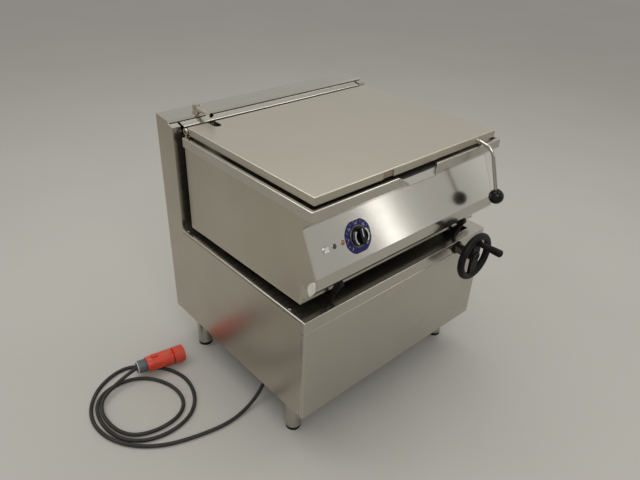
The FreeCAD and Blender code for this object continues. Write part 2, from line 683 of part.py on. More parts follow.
def tilt_drive():
    """Bush, spindle, rear bearing, nut, link and lever under the deck."""
    def on_axis(y):
        return V(WHEEL_X, y, WHEEL_Z)

    deck_under = DECK_Z - SHEET
    bush = fused(rod(on_axis(-BUSH_FLANGE_LENGTH), on_axis(0), BUSH_FLANGE),
                 rod(on_axis(-BUSH_FLANGE_LENGTH), on_axis(BUSH_LENGTH - BUSH_FLANGE_LENGTH), BUSH_RADIUS))
    bearing_end = BEARING_Y + BEARING_LENGTH
    bearing = box(WHEEL_X - BEARING_HALF, WHEEL_X + BEARING_HALF, BEARING_Y, bearing_end,
                  WHEEL_Z - BEARING_HALF, deck_under)
    hub_back = WHEEL_Y + HUB_BACK
    spindle_front = WHEEL_Y - HUB_FRONT + SPINDLE_SINK
    spindle = fused(
        rod(on_axis(hub_back), on_axis(BEARING_Y - SEAM), SPINDLE_RADIUS),
        rod(on_axis(spindle_front), on_axis(bearing_end), SPINDLE_END_RADIUS),
        rod(on_axis(hub_back), on_axis(-BUSH_FLANGE_LENGTH - SEAM), COLLAR_RADIUS),
    )
    nut_y0 = NUT_Y - NUT_LENGTH / 2
    nut_y1 = NUT_Y + NUT_LENGTH / 2
    link_end = LINK_X + LINK_PLATE
    nut = fused(box(WHEEL_X - NUT_HALF, WHEEL_X + NUT_HALF, nut_y0, nut_y1,
                    WHEEL_Z - NUT_HALF, WHEEL_Z + NUT_HALF),
                pin_x(WHEEL_X + NUT_HALF, link_end, NUT_Y, WHEEL_Z, NUT_PIN))
    nut = nut.cut(rod(on_axis(nut_y0), on_axis(nut_y1), SPINDLE_RADIUS + FIT))
    along = V(0, NUT_Y - LINK_END_Y, WHEEL_Z - LINK_END_Z).normalize()
    side_y, side_z = -along.z * LINK_HALF, along.y * LINK_HALF
    link = fused(
        prism([(LINK_END_Y + side_y, LINK_END_Z + side_z), (NUT_Y + side_y, WHEEL_Z + side_z),
               (NUT_Y - side_y, WHEEL_Z - side_z), (LINK_END_Y - side_y, LINK_END_Z - side_z)],
              LINK_X, link_end),
        pin_x(LINK_X, link_end, LINK_END_Y, LINK_END_Z, LINK_HALF),
        pin_x(LINK_X, link_end, NUT_Y, WHEEL_Z, LINK_HALF),
    )
    lever_x = link_end + LEVER_GAP
    lever_end = lever_x + LINK_PLATE
    neck_front = LEVER_NECK_FRONT
    heel_front = CASING_FRONT + LEVER_GAP
    lever = fused(
        prism([(heel_front, tray_z(heel_front)), (LEVER_HEEL, tray_z(LEVER_HEEL)),
               (LEVER_NECK_BACK, deck_under), (LINK_END_Y + LINK_HALF, LINK_END_Z),
               (LINK_END_Y - LINK_HALF, LINK_END_Z), (neck_front, deck_under - LINK_HALF),
               (neck_front, DECK_Z + LINK_HALF)], lever_x, lever_end),
        pin_x(lever_x, lever_end, LINK_END_Y, LINK_END_Z, LINK_HALF),
    )
    return {
        "front_bush": bush.cut(rod(on_axis(-BUSH_LENGTH), on_axis(BUSH_LENGTH), SPINDLE_RADIUS + FIT)),
        "rear_bearing": bearing.cut(rod(on_axis(BEARING_Y), on_axis(bearing_end), SPINDLE_END_RADIUS + FIT)),
        "spindle": spindle,
        "drive_nut": nut,
        "drive_link": link.cut(pin_x(LINK_X, link_end, NUT_Y, WHEEL_Z, NUT_PIN + FIT)),
        "tilt_lever": lever,
    }


def handwheel():
    """Wheel with one web across it and an opening on each side, and its turning grip."""
    centre = V(WHEEL_X, WHEEL_Y, WHEEL_Z)
    half_plate = V(0, WHEEL_WEB_PLATE / 2, 0)
    hub_front = V(WHEEL_X, WHEEL_Y - HUB_FRONT, WHEEL_Z)
    hub_back = V(WHEEL_X, WHEEL_Y + HUB_BACK, WHEEL_Z)
    crank = V(WHEEL_X, 0, WHEEL_Z + GRIP_CRANK)
    web_back = WHEEL_Y + WHEEL_WEB_PLATE / 2
    web = rod(centre - half_plate, centre + half_plate, WHEEL_RADIUS)
    web = web.common(box(WHEEL_X - WHEEL_WEB, WHEEL_X + WHEEL_WEB, WHEEL_Y - HUB_BACK,
                         WHEEL_Y + HUB_BACK, WHEEL_Z - WHEEL_RADIUS, WHEEL_Z + WHEEL_RADIUS))
    wheel = fused(
        Part.makeTorus(WHEEL_RADIUS, WHEEL_TUBE, centre, V(0, 1, 0)),
        web,
        rod(hub_front, hub_back, HUB_RADIUS),
        rod(crank + V(0, GRIP_START + RUN_GAP, 0), crank + V(0, web_back, 0), GRIP_BOSS),
    )
    wheel = wheel.cut(rod(hub_front, hub_back, SPINDLE_END_RADIUS))
    head_start = GRIP_END + GRIP_WALL + BOLT_HEAD_LENGTH
    head_end = GRIP_END + GRIP_WALL
    bolt = fused(
        rod(crank + V(0, web_back, 0), crank + V(0, head_start, 0), BOLT_RADIUS),
        rod(crank + V(0, head_start, 0), crank + V(0, head_end, 0), BOLT_HEAD),
    )
    grip = cone(crank + V(0, GRIP_START, 0), crank + V(0, GRIP_END, 0), GRIP_RADIUS - GRIP_NECK, GRIP_RADIUS)
    grip = rounded(grip, GRIP_ROUND, lambda edge: abs(edge.CenterOfMass.y - GRIP_END) < SEAM)
    bore = fused(
        rod(crank + V(0, GRIP_START, 0), crank + V(0, head_end - RUN_GAP, 0), BOLT_RADIUS + FIT),
        rod(crank + V(0, head_start + RUN_GAP, 0), crank + V(0, head_end - RUN_GAP, 0), BOLT_HEAD + RUN_GAP),
    )
    return {"handwheel": wheel.cut(bolt), "grip_bolt": bolt, "grip": grip.cut(bore)}


def pouring_lip():
    """Lip in front of the notch: a sloping floor between cheeks that lean in towards its mouth."""
    floor_z = TUB_SEAT + TUB_FLANGE
    mouth_y = RIM_FRONT - LIP_REACH
    mouth_z = floor_z - LIP_FALL
    left = NOTCH_LEFT + SEAM
    right = NOTCH_RIGHT - SEAM
    back_left = V(left, RIM_FRONT, floor_z)
    back_right = V(right, RIM_FRONT, floor_z)
    mouth_left = V(left + LIP_TAPER, mouth_y, mouth_z)
    mouth_right = V(right - LIP_TAPER, mouth_y, mouth_z)
    floor = Part.Face(Part.makePolygon([back_left, back_right, mouth_right, mouth_left, back_left]))
    pieces = [floor.extrude(V(0, 0, -TUB_FLANGE))]
    for back, mouth, inward in ((back_left, mouth_left, SHEET), (back_right, mouth_right, -SHEET)):
        back_top = V(back.x, back.y, RIM_TOP - SEAM)
        mouth_top = mouth + V(0, 0, LIP_CHEEK)
        cheek = Part.Face(Part.makePolygon([back, mouth, mouth_top, back_top, back]))
        pieces.append(cheek.extrude(V(inward, 0, 0)))
    return pieces


def rim_and_tub():
    """Rim with its pouring notch and hinge ears, the tub in it, and what heats the tub."""
    seat_x = RIM_X - RIM_BAR
    seat_front = RIM_FRONT + RIM_BAR
    seat_back = RIM_BACK - RIM_BAR
    rim = box(-RIM_X, RIM_X, RIM_FRONT, RIM_BACK, RIM_LOW, RIM_TOP)
    rim = rounded(rim, RIM_ROUND, lambda edge: edge.CenterOfMass.z > RIM_LOW + SEAM)
    rim = rim.cut(box(-seat_x, seat_x, seat_front, seat_back, TUB_SEAT, RIM_TOP))
    rim = rim.cut(box(-seat_x + RIM_LEDGE, seat_x - RIM_LEDGE, seat_front + RIM_LEDGE,
                      seat_back - RIM_LEDGE, RIM_LOW, TUB_SEAT))
    rim = rim.cut(box(NOTCH_LEFT, NOTCH_RIGHT, RIM_FRONT, seat_front, TUB_SEAT, RIM_TOP))
    ear_x = LID_X + HINGE_GAP
    ear = fused(
        box(ear_x, ear_x + HINGE_PLATE, HINGE_Y - HINGE_EAR, HINGE_Y, RIM_TOP, HINGE_Z),
        pin_x(ear_x, ear_x + HINGE_PLATE, HINGE_Y, HINGE_Z, HINGE_EAR),
    )
    ear = ear.cut(pin_x(ear_x, ear_x + HINGE_PLATE, HINGE_Y, HINGE_Z, HINGE_PIN + FIT))
    flange_top = TUB_SEAT + TUB_FLANGE
    inside = [(TUB_FRONT, flange_top), (TUB_FRONT, TUB_SEAT), (TUB_FLOOR_FRONT, TUB_FLOOR),
              (TUB_BACK, TUB_FLOOR), (TUB_BACK, flange_top)]
    under = TUB_FLOOR - TUB_BASE
    outside = [(TUB_FRONT - TUB_WALL, TUB_SEAT), (TUB_FLOOR_FRONT - TUB_WALL, under),
               (TUB_BACK + TUB_WALL, under), (TUB_BACK + TUB_WALL, TUB_SEAT)]
    tub = fused(
        prism(outside, -TUB_X - TUB_WALL, TUB_X + TUB_WALL),
        box(-seat_x + SEAM, seat_x - SEAM, seat_front + SEAM, seat_back - SEAM, TUB_SEAT, flange_top),
        box(NOTCH_LEFT + SEAM, NOTCH_RIGHT - SEAM, RIM_FRONT, TUB_FRONT, TUB_SEAT, flange_top),
        *pouring_lip(),
    )
    elements = []
    element_x = TUB_X - ELEMENT_INSET
    pitch = (TUB_BACK - TUB_FLOOR_FRONT) / ELEMENT_COUNT
    for index in range(ELEMENT_COUNT):
        y = TUB_FLOOR_FRONT + (index + 0.5) * pitch
        elements.append(box(-element_x, element_x, y - ELEMENT_WIDTH / 2, y + ELEMENT_WIDTH / 2,
                            under - ELEMENT_HEIGHT, under))
    wool_front = CASING_FRONT + WOOL_INSET
    wool_back = CASING_BACK - WOOL_INSET
    wool = [(wool_front, tray_z(wool_front) + SHEET + SEAM), (wool_back, tray_z(wool_back) + SHEET + SEAM),
            (wool_back, tray_z(wool_back) + WOOL_HEIGHT), (wool_front, tray_z(wool_front) + WOOL_HEIGHT)]
    return {
        "rim_frame": fused(rim, ear, mirrored(ear)),
        "tub": tub.cut(prism(inside, -TUB_X, TUB_X)),
        "heating_elements": Part.makeCompound(elements),
        "insulation": prism(wool, -CASING_X + WOOL_INSET, CASING_X - WOOL_INSET),
    }


def casing_side(outline):
    """Right side sheet of the casing, bent in by a narrow return all round."""
    inner = CASING_X - SIDE_RETURN
    side = prism(outline, inner, CASING_X)
    side = rounded(side, EDGE_ROUND, lambda edge: edge.CenterOfMass.x > CASING_X - SEAM)
    corners = [V(inner, y, z) for y, z in outline]
    inside = Part.Face(Part.makePolygon(corners + corners[:1])).makeOffset2D(-SHEET)
    return side.cut(inside.extrude(V(SIDE_RETURN - SHEET, 0, 0)))


def casing():
    """Sheets round the tub and the console that overhangs in front."""
    inner = CASING_X - SIDE_RETURN
    front = [CONSOLE_LOW, CONSOLE_LIP, CONSOLE_NOSE, CONSOLE_TOP, CONSOLE_RIM]
    outline = [(CASING_BACK, RIM_LOW), (CASING_BACK, TRAY_BACK_Z), (CASING_FRONT, TRAY_FRONT_Z), CONSOLE_FOOT]
    right = casing_side(outline + front)
    tray = bent_sheet([(CASING_BACK, TRAY_BACK_Z), (CASING_FRONT, TRAY_FRONT_Z), CONSOLE_FOOT], -inner, inner)
    back = box(-inner, inner, CASING_BACK - SHEET, CASING_BACK, TRAY_BACK_Z + 2 * SHEET, RIM_LOW)
    panel = bent_sheet(front, -inner, inner)
    panel = rounded(panel, EDGE_ROUND, lambda edge: runs_along(edge, V(1, 0, 0))
                    and abs(edge.CenterOfMass.y - CONSOLE_NOSE[0]) < SEAM
                    and abs(edge.CenterOfMass.z - CONSOLE_NOSE[1]) < SEAM)
    panel = panel.cut(box(-inner, inner, CONSOLE_NOSE[0], CASING_FRONT, RIM_LOW, RIM_TOP))
    band = bent_sheet([CONSOLE_FOOT, CONSOLE_LOW], -inner, inner)
    end_x = CASING_X + END_CAP_HEIGHT
    end_cap = pin_x(CASING_X, end_x, CONSOLE_LIP[0] - END_CAP_OUT, CONSOLE_LIP[1], END_CAP_RADIUS)
    end_cap = end_cap.common(prism([CONSOLE_FOOT] + front, CASING_X, end_x))
    screw_z = TRAY_FRONT_Z + CASING_SCREW_RISE
    screws = []
    for x in (CASING_SCREW_LEFT_INSET - CASING_X, CASING_SCREW_LEFT, CASING_SCREW_RIGHT,
              CASING_X - CASING_SCREW_RIGHT_INSET):
        screws.append(rod(V(x, CASING_FRONT, screw_z), V(x, CASING_FRONT - SCREW_HEAD, screw_z), SCREW_RADIUS))
    return {
        "casing_right": right,
        "casing_left": mirrored(right),
        "casing_tray": tray,
        "casing_back": back,
        "console_band": band.cut(panel).cut(tray),
        "control_panel": panel,
        "console_end_caps": both_sides(end_cap),
        "casing_screws": Part.makeCompound(screws),
    }


def panel_point(x, distance, lift):
    """Point on the slanted control panel, a distance down from its top and a lift off it."""
    run = V(0, CONSOLE_NOSE[0] - CONSOLE_TOP[0], CONSOLE_NOSE[1] - CONSOLE_TOP[1]).normalize()
    normal = V(0, run.z, -run.y)
    return V(x, CONSOLE_TOP[0], CONSOLE_TOP[1]) + run * distance + normal * lift


def panel_disc(x, distance, low, high, radius):
    """Round piece square to the control panel, between two lifts."""
    return rod(panel_point(x, distance, low), panel_point(x, distance, high), radius)


def panel_block(x, distance, half_x, half_run, low, high):
    """Block square to the control panel, between two lifts."""
    corners = [(distance - half_run, low), (distance + half_run, low),
               (distance + half_run, high), (distance - half_run, high)]
    points = [panel_point(0, along, lift) for along, lift in corners]
    return prism([(point.y, point.z) for point in points], x - half_x, x + half_x)


def controls(panel):
    """Dial plate, knob, lamps, reset cap and thermostat, and the panel with its holes."""
    dial = panel_disc(KNOB_X, KNOB_S, 0, DIAL_PLATE, DIAL_RADIUS)
    dial = dial.common(panel_block(KNOB_X, KNOB_S, DIAL_HALF_WIDTH, DIAL_HALF_HEIGHT, -SHEET, SHEET))
    shaft = panel_disc(KNOB_X, KNOB_S, -2 * SHEET, KNOB_SHAFT_LENGTH, KNOB_SHAFT)
    shaft_hole = panel_disc(KNOB_X, KNOB_S, -2 * SHEET, KNOB_SHAFT_LENGTH, KNOB_SHAFT + FIT)
    knob_low = DIAL_PLATE + RUN_GAP
    ring_top = knob_low + KNOB_RING_HEIGHT
    skirt_top = knob_low + KNOB_SKIRT
    bar_half = KNOB_RADIUS - KNOB_BAR / 2
    knob = fused(
        panel_disc(KNOB_X, KNOB_S, knob_low, skirt_top, KNOB_RADIUS),
        panel_block(KNOB_X, KNOB_S, KNOB_BAR, bar_half, knob_low, skirt_top + KNOB_BAR_HEIGHT),
    )
    ring = panel_disc(KNOB_X, KNOB_S, knob_low, ring_top, KNOB_RING)
    ring = ring.cut(panel_disc(KNOB_X, KNOB_S, knob_low, ring_top, KNOB_RADIUS))
    body_low = -SHEET - THERMOSTAT_DEPTH
    body = panel_block(KNOB_X, KNOB_S, THERMOSTAT_HALF, THERMOSTAT_HALF, body_low, -SHEET)
    pieces = {
        "control_panel": panel.cut(shaft_hole),
        "dial_plate": dial.cut(shaft_hole),
        "control_knob": knob.cut(shaft_hole),
        "knob_ring": ring,
        "thermostat": fused(body, shaft),
        "reset_cap": panel_disc(KNOB_X - RESET_OFFSET, LAMP_S, 0, LAMP_HEIGHT, RESET_RADIUS),
    }
    for colour, offset in LAMP_OFFSETS.items():
        pieces["lamp_" + colour] = panel_disc(KNOB_X - offset, LAMP_S, 0, LAMP_HEIGHT, LAMP_RADIUS)
    return pieces


def lid():
    """Pressed lid with its spout notch, cut flange, apron, hinge arms and ball handle."""
    skin = box(-LID_X, LID_X, LID_FRONT, LID_BACK, LID_LOW, LID_TOP)
    skin = rounded(skin, LID_ROUND, lambda edge: edge.CenterOfMass.z > LID_LOW + SHEET)
    flange_back = LID_FRONT + SHEET
    skin = skin.cut(box(-LID_X + SHEET, LID_X - SHEET, flange_back, LID_BACK - SHEET,
                        LID_LOW, LID_TOP - SHEET))
    tip = LID_BACK - LID_NOTCH_LENGTH + LID_NOTCH
    skin = skin.cut(box(SPOUT_X - LID_NOTCH, SPOUT_X + LID_NOTCH, tip, LID_BACK, LID_LOW, LID_TOP))
    skin = skin.cut(rod(V(SPOUT_X, tip, LID_LOW), V(SPOUT_X, tip, LID_TOP), LID_NOTCH))
    apron_left = NOTCH_LEFT - APRON_LAP
    apron_top = LID_TOP - APRON_DROP
    skin = skin.cut(box(apron_left - FLANGE_CUT, apron_left, LID_FRONT, flange_back, LID_LOW, apron_top))
    arm_x = LID_X - SHEET
    arm = fused(
        box(arm_x - HINGE_PLATE, arm_x, HINGE_Y - 4 * HINGE_ARM, HINGE_Y,
            HINGE_Z - HINGE_ARM, HINGE_Z + HINGE_ARM),
        pin_x(arm_x - HINGE_PLATE, arm_x, HINGE_Y, HINGE_Z, HINGE_ARM),
    )
    pin = pin_x(arm_x - HINGE_PLATE, LID_X + HINGE_GAP + HINGE_PLATE + HINGE_GAP, HINGE_Y, HINGE_Z, HINGE_PIN)
    slot = box(arm_x - HINGE_PLATE, arm_x, LID_BACK - SHEET, LID_BACK, LID_LOW, HINGE_Z + HINGE_ARM)
    skin = fused(skin.cut(both_sides(slot)), arm, mirrored(arm)).cut(both_sides(pin))
    handle, _, _ = pipe([HANDLE_START, HANDLE_BEND, HANDLE_BALL], HANDLE_RADIUS)
    boss = rod(HANDLE_START, HANDLE_START - V(0, HANDLE_BOSS_LENGTH, 0), HANDLE_BOSS)
    beyond = box(HANDLE_START.x - BALL_RADIUS, HANDLE_START.x + BALL_RADIUS, LID_FRONT,
                 LID_FRONT + BALL_RADIUS, LID_LOW, LID_TOP)
    return {
        "lid_skin": skin,
        "lid_apron": box(apron_left, NOTCH_RIGHT + APRON_LAP, LID_FRONT - SHEET, LID_FRONT,
                         LID_LOW, apron_top),
        "lid_hinge_pins": both_sides(pin),
        "lid_handle": fused(handle, boss).cut(beyond),
        "lid_ball": Part.makeSphere(BALL_RADIUS, HANDLE_BALL).cut(handle),
    }


def cord_and_plug():
    """Supply cord laid in loops on the floor, and the plug lying across it."""
    points = [V(*point) for point in CORD_ROUTE]
    cord, wire, radii = pipe(points, CORD_RADIUS)
    drawn = math.pi * CORD_RADIUS ** 2 * wire.Length
    print("cord bend radii", [round(radius) for radius in radii])
    print("cord length", round(wire.Length), "volume", round(cord.Volume), "section times length", round(drawn))
    print("cord least self gap", round(least_self_gap(wire, CORD_RADIUS, CORD_RADIUS / 2), 2))
    axis = (PLUG_END - PLUG_MOUTH).normalize()

    def at(distance):
        return PLUG_MOUTH + axis * distance

    total = (PLUG_END - PLUG_MOUTH).Length
    body_start = PLUG_GLAND_LENGTH
    sleeve_start = body_start + PLUG_BODY_LENGTH
    sleeve_floor = sleeve_start + PLUG_SLEEVE_BASE
    neck = PLUG_GLAND_LENGTH / 3
    gland = fused(cone(at(0), at(neck), PLUG_GLAND_NECK, PLUG_GLAND_RADIUS),
                  rod(at(neck), at(body_start), PLUG_GLAND_RADIUS))
    body = cone(at(body_start), at(sleeve_start), *PLUG_BODY_RADII)
    sleeve = rod(at(sleeve_start), at(total), PLUG_SLEEVE_RADIUS)
    sleeve = sleeve.cut(rod(at(sleeve_floor), at(total), PLUG_SLEEVE_RADIUS - PLUG_SLEEVE_WALL))
    across = axis.cross(V(0, 0, 1)).normalize()
    upward = across.cross(axis)
    pins = []
    for index in range(PLUG_PIN_COUNT):
        turn = 2 * math.pi * index / PLUG_PIN_COUNT
        shift = (across * math.sin(turn) + upward * math.cos(turn)) * PLUG_PIN_CIRCLE
        pins.append(rod(at(sleeve_floor) + shift, at(sleeve_floor + PLUG_PIN_LENGTH) + shift, PLUG_PIN_RADIUS))
    return {
        "cord": cord,
        "plug_gland": gland,
        "plug_body": body,
        "plug_sleeve": sleeve,
        "plug_pins": Part.makeCompound(pins),
    }


def main():
    """Build every piece and write it in the part's own frame."""
    pieces = {}
    pieces.update(stand_sheets())
    pieces.update(stand_frame())
    spout_pieces, set_screw = spout()
    pieces.update(spout_pieces)
    pieces["frame_screws"] = Part.makeCompound(stand_screws() + [set_screw])
    pieces.update(supply())
    pieces.update(tilt_pivot())
    pieces.update(tilt_drive())
    pieces.update(handwheel())
    pieces.update(rim_and_tub())
    pieces.update(casing())
    pieces.update(controls(pieces["control_panel"]))
    pieces.update(lid())
    pieces.update(cord_and_plug())
    os.makedirs("parts", exist_ok=True)
    for name, shape in pieces.items():
        if not shape.isValid():
            print("not valid:", name)
        placed = shape.copy()
        placed.translate(V(0, -MIDDLE_Y, 0))
        placed.exportStep(os.path.join("parts", name + ".step"))
    print(len(pieces), "pieces, origin", MIDDLE_Y, "behind the stand's front")


main()
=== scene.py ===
"""Looks of an electric tilting bratt pan on its stand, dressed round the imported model."""

import json
import logging
import math
from dataclasses import dataclass, field
from enum import Enum
from typing import Callable, Iterable, Sequence

import bmesh
import bpy
from mathutils import Matrix, Vector


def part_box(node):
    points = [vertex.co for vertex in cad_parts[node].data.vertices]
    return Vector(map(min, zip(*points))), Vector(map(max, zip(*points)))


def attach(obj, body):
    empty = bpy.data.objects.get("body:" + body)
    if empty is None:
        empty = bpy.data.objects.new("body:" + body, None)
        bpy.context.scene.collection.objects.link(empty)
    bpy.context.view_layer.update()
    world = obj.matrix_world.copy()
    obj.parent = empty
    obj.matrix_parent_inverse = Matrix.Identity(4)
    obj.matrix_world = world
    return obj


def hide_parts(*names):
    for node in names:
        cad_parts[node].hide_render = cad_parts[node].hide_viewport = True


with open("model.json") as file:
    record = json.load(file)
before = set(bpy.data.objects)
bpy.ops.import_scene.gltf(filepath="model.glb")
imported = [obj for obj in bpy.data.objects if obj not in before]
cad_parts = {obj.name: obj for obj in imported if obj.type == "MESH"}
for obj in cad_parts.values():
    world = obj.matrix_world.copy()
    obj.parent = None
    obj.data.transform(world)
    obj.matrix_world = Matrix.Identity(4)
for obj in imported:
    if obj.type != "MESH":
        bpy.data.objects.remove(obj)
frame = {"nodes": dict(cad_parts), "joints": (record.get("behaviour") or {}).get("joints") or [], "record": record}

LOG = logging.getLogger("bratt_pan")
MM = 0.001
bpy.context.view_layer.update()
NODES = frame["nodes"]
JOINTS = {joint["name"]: joint for joint in frame["joints"]}
RECORD = frame["record"]
SLOTS = {part["node"]: part["material_slot"] for part in RECORD["subparts"]}
BODY_OF = {node: body for body, nodes in RECORD["behaviour"]["bodies"].items() for node in nodes}
# A colour mix names its sockets alike for every kind of value, so its colours go by number.
MIX_FIRST, MIX_SECOND, MIX_RESULT = 6, 7, 2
# Scratches and marks in metal are shallow, so that its gloss stays.
METAL_BUMP = {"Strength": 0.02, "Distance": 0.2 * MM}
# An axis whose x is above this lies too near the x axis to be levelled by it.
NEAR_PARALLEL = 0.9
# Distance along an axis and radius of each ring, or x and y of each corner, in millimetres.
Points = Sequence[tuple[float, float]]


def linear(colour: str) -> tuple[float, float, float, float]:
    """Turn an sRGB hex colour into linear light.

    Args:
        colour: Six hex digits after a hash sign.

    Returns:
        Red, green, blue and an alpha of one.
    """
    channels = []
    for start in (1, 3, 5):
        value = int(colour[start:start + 2], 16) / 255
        channels.append(value / 12.92 if value <= 0.04045 else ((value + 0.055) / 1.055) ** 2.4)
    return (*channels, 1.0)


def add_node(tree: bpy.types.NodeTree, kind: str, settings: dict | None = None,
             links: dict | None = None) -> bpy.types.Node:
    """Add one shader node with its settings and incoming links.

    Args:
        tree: The node tree to add to.
        kind: The node's type name.
        settings: Values for the node's own settings, or for its sockets by name or number.
        links: Output sockets to link in, by the input's name or number.

    Returns:
        The new node.
    """
    node = tree.nodes.new(kind)
    for key, value in (settings or {}).items():
        if isinstance(key, str) and hasattr(node, key):
            setattr(node, key, value)
        else:
            node.inputs[key].default_value = value
    for key, output in (links or {}).items():
        tree.links.new(output, node.inputs[key])
    return node


def blank_material(name: str) -> tuple[bpy.types.Material, bpy.types.NodeTree, bpy.types.Node]:
    """Start a material that holds one surface shader.

    Args:
        name: The finish's plain name.

    Returns:
        The material, its node tree and its surface shader.
    """
    material = bpy.data.materials.new(name)
    material.use_nodes = True
    tree = material.node_tree
    return material, tree, tree.nodes["Principled BSDF"]


def clouds(tree: bpy.types.NodeTree, place: bpy.types.NodeSocket, size_mm: float, detail: float,
           **settings: float) -> bpy.types.NodeSocket:
    """Add a cloudy pattern of a given size.

    Args:
        tree: The node tree to add to.
        place: The output that says where a point lies.
        size_mm: The size of one cloud.
        detail: How many finer layers it has.
        settings: Further sockets of the pattern by name.

    Returns:
        The pattern's value.
    """
    values = {"Scale": 1 / (size_mm * MM), "Detail": detail, **settings}
    return add_node(tree, "ShaderNodeTexNoise", values, {"Vector": place}).outputs[0]


def blend(tree: bpy.types.NodeTree, first: str, second: str,
          amount: bpy.types.NodeSocket) -> bpy.types.NodeSocket:
    """Mix two colours.

    Args:
        tree: The node tree to add to.
        first: The hex colour where the amount is zero.
        second: The hex colour where the amount is one.
        amount: The output that sets the mix.

    Returns:
        The mixed colour.
    """
    values = {"data_type": "RGBA", MIX_FIRST: linear(first), MIX_SECOND: linear(second)}
    return add_node(tree, "ShaderNodeMix", values, {0: amount}).outputs[MIX_RESULT]


class Grain(Enum):
    """The way in which a sheet was brushed."""

    ACROSS = (1.0, 0.0, 0.0)
    DEEP = (0.0, 1.0, 0.0)
    UPRIGHT = (0.0, 0.0, 1.0)


@dataclass(frozen=True)
class BrushedStainless:
    """Stainless sheet ground with a belt: fine parallel scratches over faint hand marks."""

    name: str
    colour: str
    marked: str
    grain: Grain
    roughness: float = 0.34
    # A real scratch is about 0.05 mm wide, and is drawn much coarser so that it shows.
    scratch_mm: float = 0.9
    scratch_length_mm: float = 120.0
    mark_mm: float = 210.0
    # The part of the scratch pattern that counts, and how far scratches and hand marks spread the roughness.
    scratch_range: tuple[float, float] = (0.25, 0.75)
    scratch_spread: float = 0.03
    mark_spread: float = 0.06

    def material(self) -> bpy.types.Material:
        """Build the material.

        Returns:
            A metal whose roughness and bump run along the grain.
        """
        material, tree, shader = blank_material(self.name)
        place = add_node(tree, "ShaderNodeTexCoord").outputs["Object"]
        fine, slow = 1 / (self.scratch_mm * MM), 1 / (self.scratch_length_mm * MM)
        scale = [slow if part else fine for part in self.grain.value]
        run = add_node(tree, "ShaderNodeMapping", {"Scale": scale}, {"Vector": place})
        scratches = add_node(tree, "ShaderNodeTexNoise", {"Scale": 1.0, "Detail": 3.0, "Roughness": 0.6},
                             {"Vector": run.outputs[0]})
        marks = clouds(tree, place, self.mark_mm, 4.0, Roughness=0.55)
        tint = blend(tree, self.colour, self.marked, marks)
        least, most = self.scratch_range
        rough = add_node(tree, "ShaderNodeMapRange", {"From Min": least, "From Max": most,
                                                      "To Min": self.roughness - self.scratch_spread,
                                                      "To Max": self.roughness + self.scratch_spread},
                         {"Value": scratches.outputs[0]})
        smear = add_node(tree, "ShaderNodeMath", {"operation": "MULTIPLY_ADD", 1: self.mark_spread},
                         {0: marks, 2: rough.outputs[0]})
        bump = add_node(tree, "ShaderNodeBump", METAL_BUMP, {"Height": scratches.outputs[0]})
        shader.inputs["Metallic"].default_value = 1.0
        tree.links.new(tint, shader.inputs["Base Color"])
        tree.links.new(smear.outputs[0], shader.inputs["Roughness"])
        tree.links.new(bump.outputs[0], shader.inputs["Normal"])
        return material


@dataclass(frozen=True)
class PlatedMetal:
    """Turned or drawn metal, plated or bare, with faint handling marks in its gloss."""

    name: str
    colour: str
    roughness: float
    mottle: float = 0.06
    mottle_mm: float = 9.0
    least_roughness: float = 0.02

    def material(self) -> bpy.types.Material:
        """Build the material.

        Returns:
            A metal with clouded gloss.
        """
        material, tree, shader = blank_material(self.name)
        place = add_node(tree, "ShaderNodeTexCoord").outputs["Object"]
        cloud = clouds(tree, place, self.mottle_mm, 3.0)
        low = max(self.least_roughness, self.roughness - self.mottle)
        rough = add_node(tree, "ShaderNodeMapRange", {"To Min": low, "To Max": self.roughness + self.mottle},
                         {"Value": cloud})
        bump = add_node(tree, "ShaderNodeBump", METAL_BUMP, {"Height": cloud})
        shader.inputs["Metallic"].default_value = 1.0
        shader.inputs["Base Color"].default_value = linear(self.colour)
        tree.links.new(rough.outputs[0], shader.inputs["Roughness"])
        tree.links.new(bump.outputs[0], shader.inputs["Normal"])
        return material


@dataclass(frozen=True)
class Moulding:
    """Moulded plastic or rubber: an even colour, dulled by dust, over a fine spark-eroded skin."""

    name: str
    colour: str
    dusty: str
    roughness: float
    skin_mm: float = 1.2
    skin_bump: float = 0.08
    dust_mm: float = 30.0
    coat: float = 0.0
    gloss: float = 0.5
    # The part of the cloud pattern that counts as dust, and what it does to the roughness.
    dust_range: tuple[float, float] = (0.45, 0.8)
    clean_step: float = -0.06
    dusty_step: float = 0.1
    skin_depth_mm: float = 0.3

    def material(self) -> bpy.types.Material:
        """Build the material.

        Returns:
            A dielectric with patchy dust and a fine skin.
        """
        material, tree, shader = blank_material(self.name)
        place = add_node(tree, "ShaderNodeTexCoord").outputs["Object"]
        dust = clouds(tree, place, self.dust_mm, 5.0)
        least, most = self.dust_range
        amount = add_node(tree, "ShaderNodeMapRange", {"From Min": least, "From Max": most}, {"Value": dust})
        tint = blend(tree, self.colour, self.dusty, amount.outputs[0])
        rough = add_node(tree, "ShaderNodeMapRange", {"To Min": self.roughness + self.clean_step,
                                                      "To Max": self.roughness + self.dusty_step},
                         {"Value": amount.outputs[0]})
        skin = clouds(tree, place, self.skin_mm, 2.0)
        relief = {"Strength": self.skin_bump, "Distance": self.skin_depth_mm * MM}
        bump = add_node(tree, "ShaderNodeBump", relief, {"Height": skin})
        shader.inputs["Coat Weight"].default_value = self.coat
        shader.inputs["Specular IOR Level"].default_value = self.gloss
        tree.links.new(tint, shader.inputs["Base Color"])
        tree.links.new(rough.outputs[0], shader.inputs["Roughness"])
        tree.links.new(bump.outputs[0], shader.inputs["Normal"])
        return material


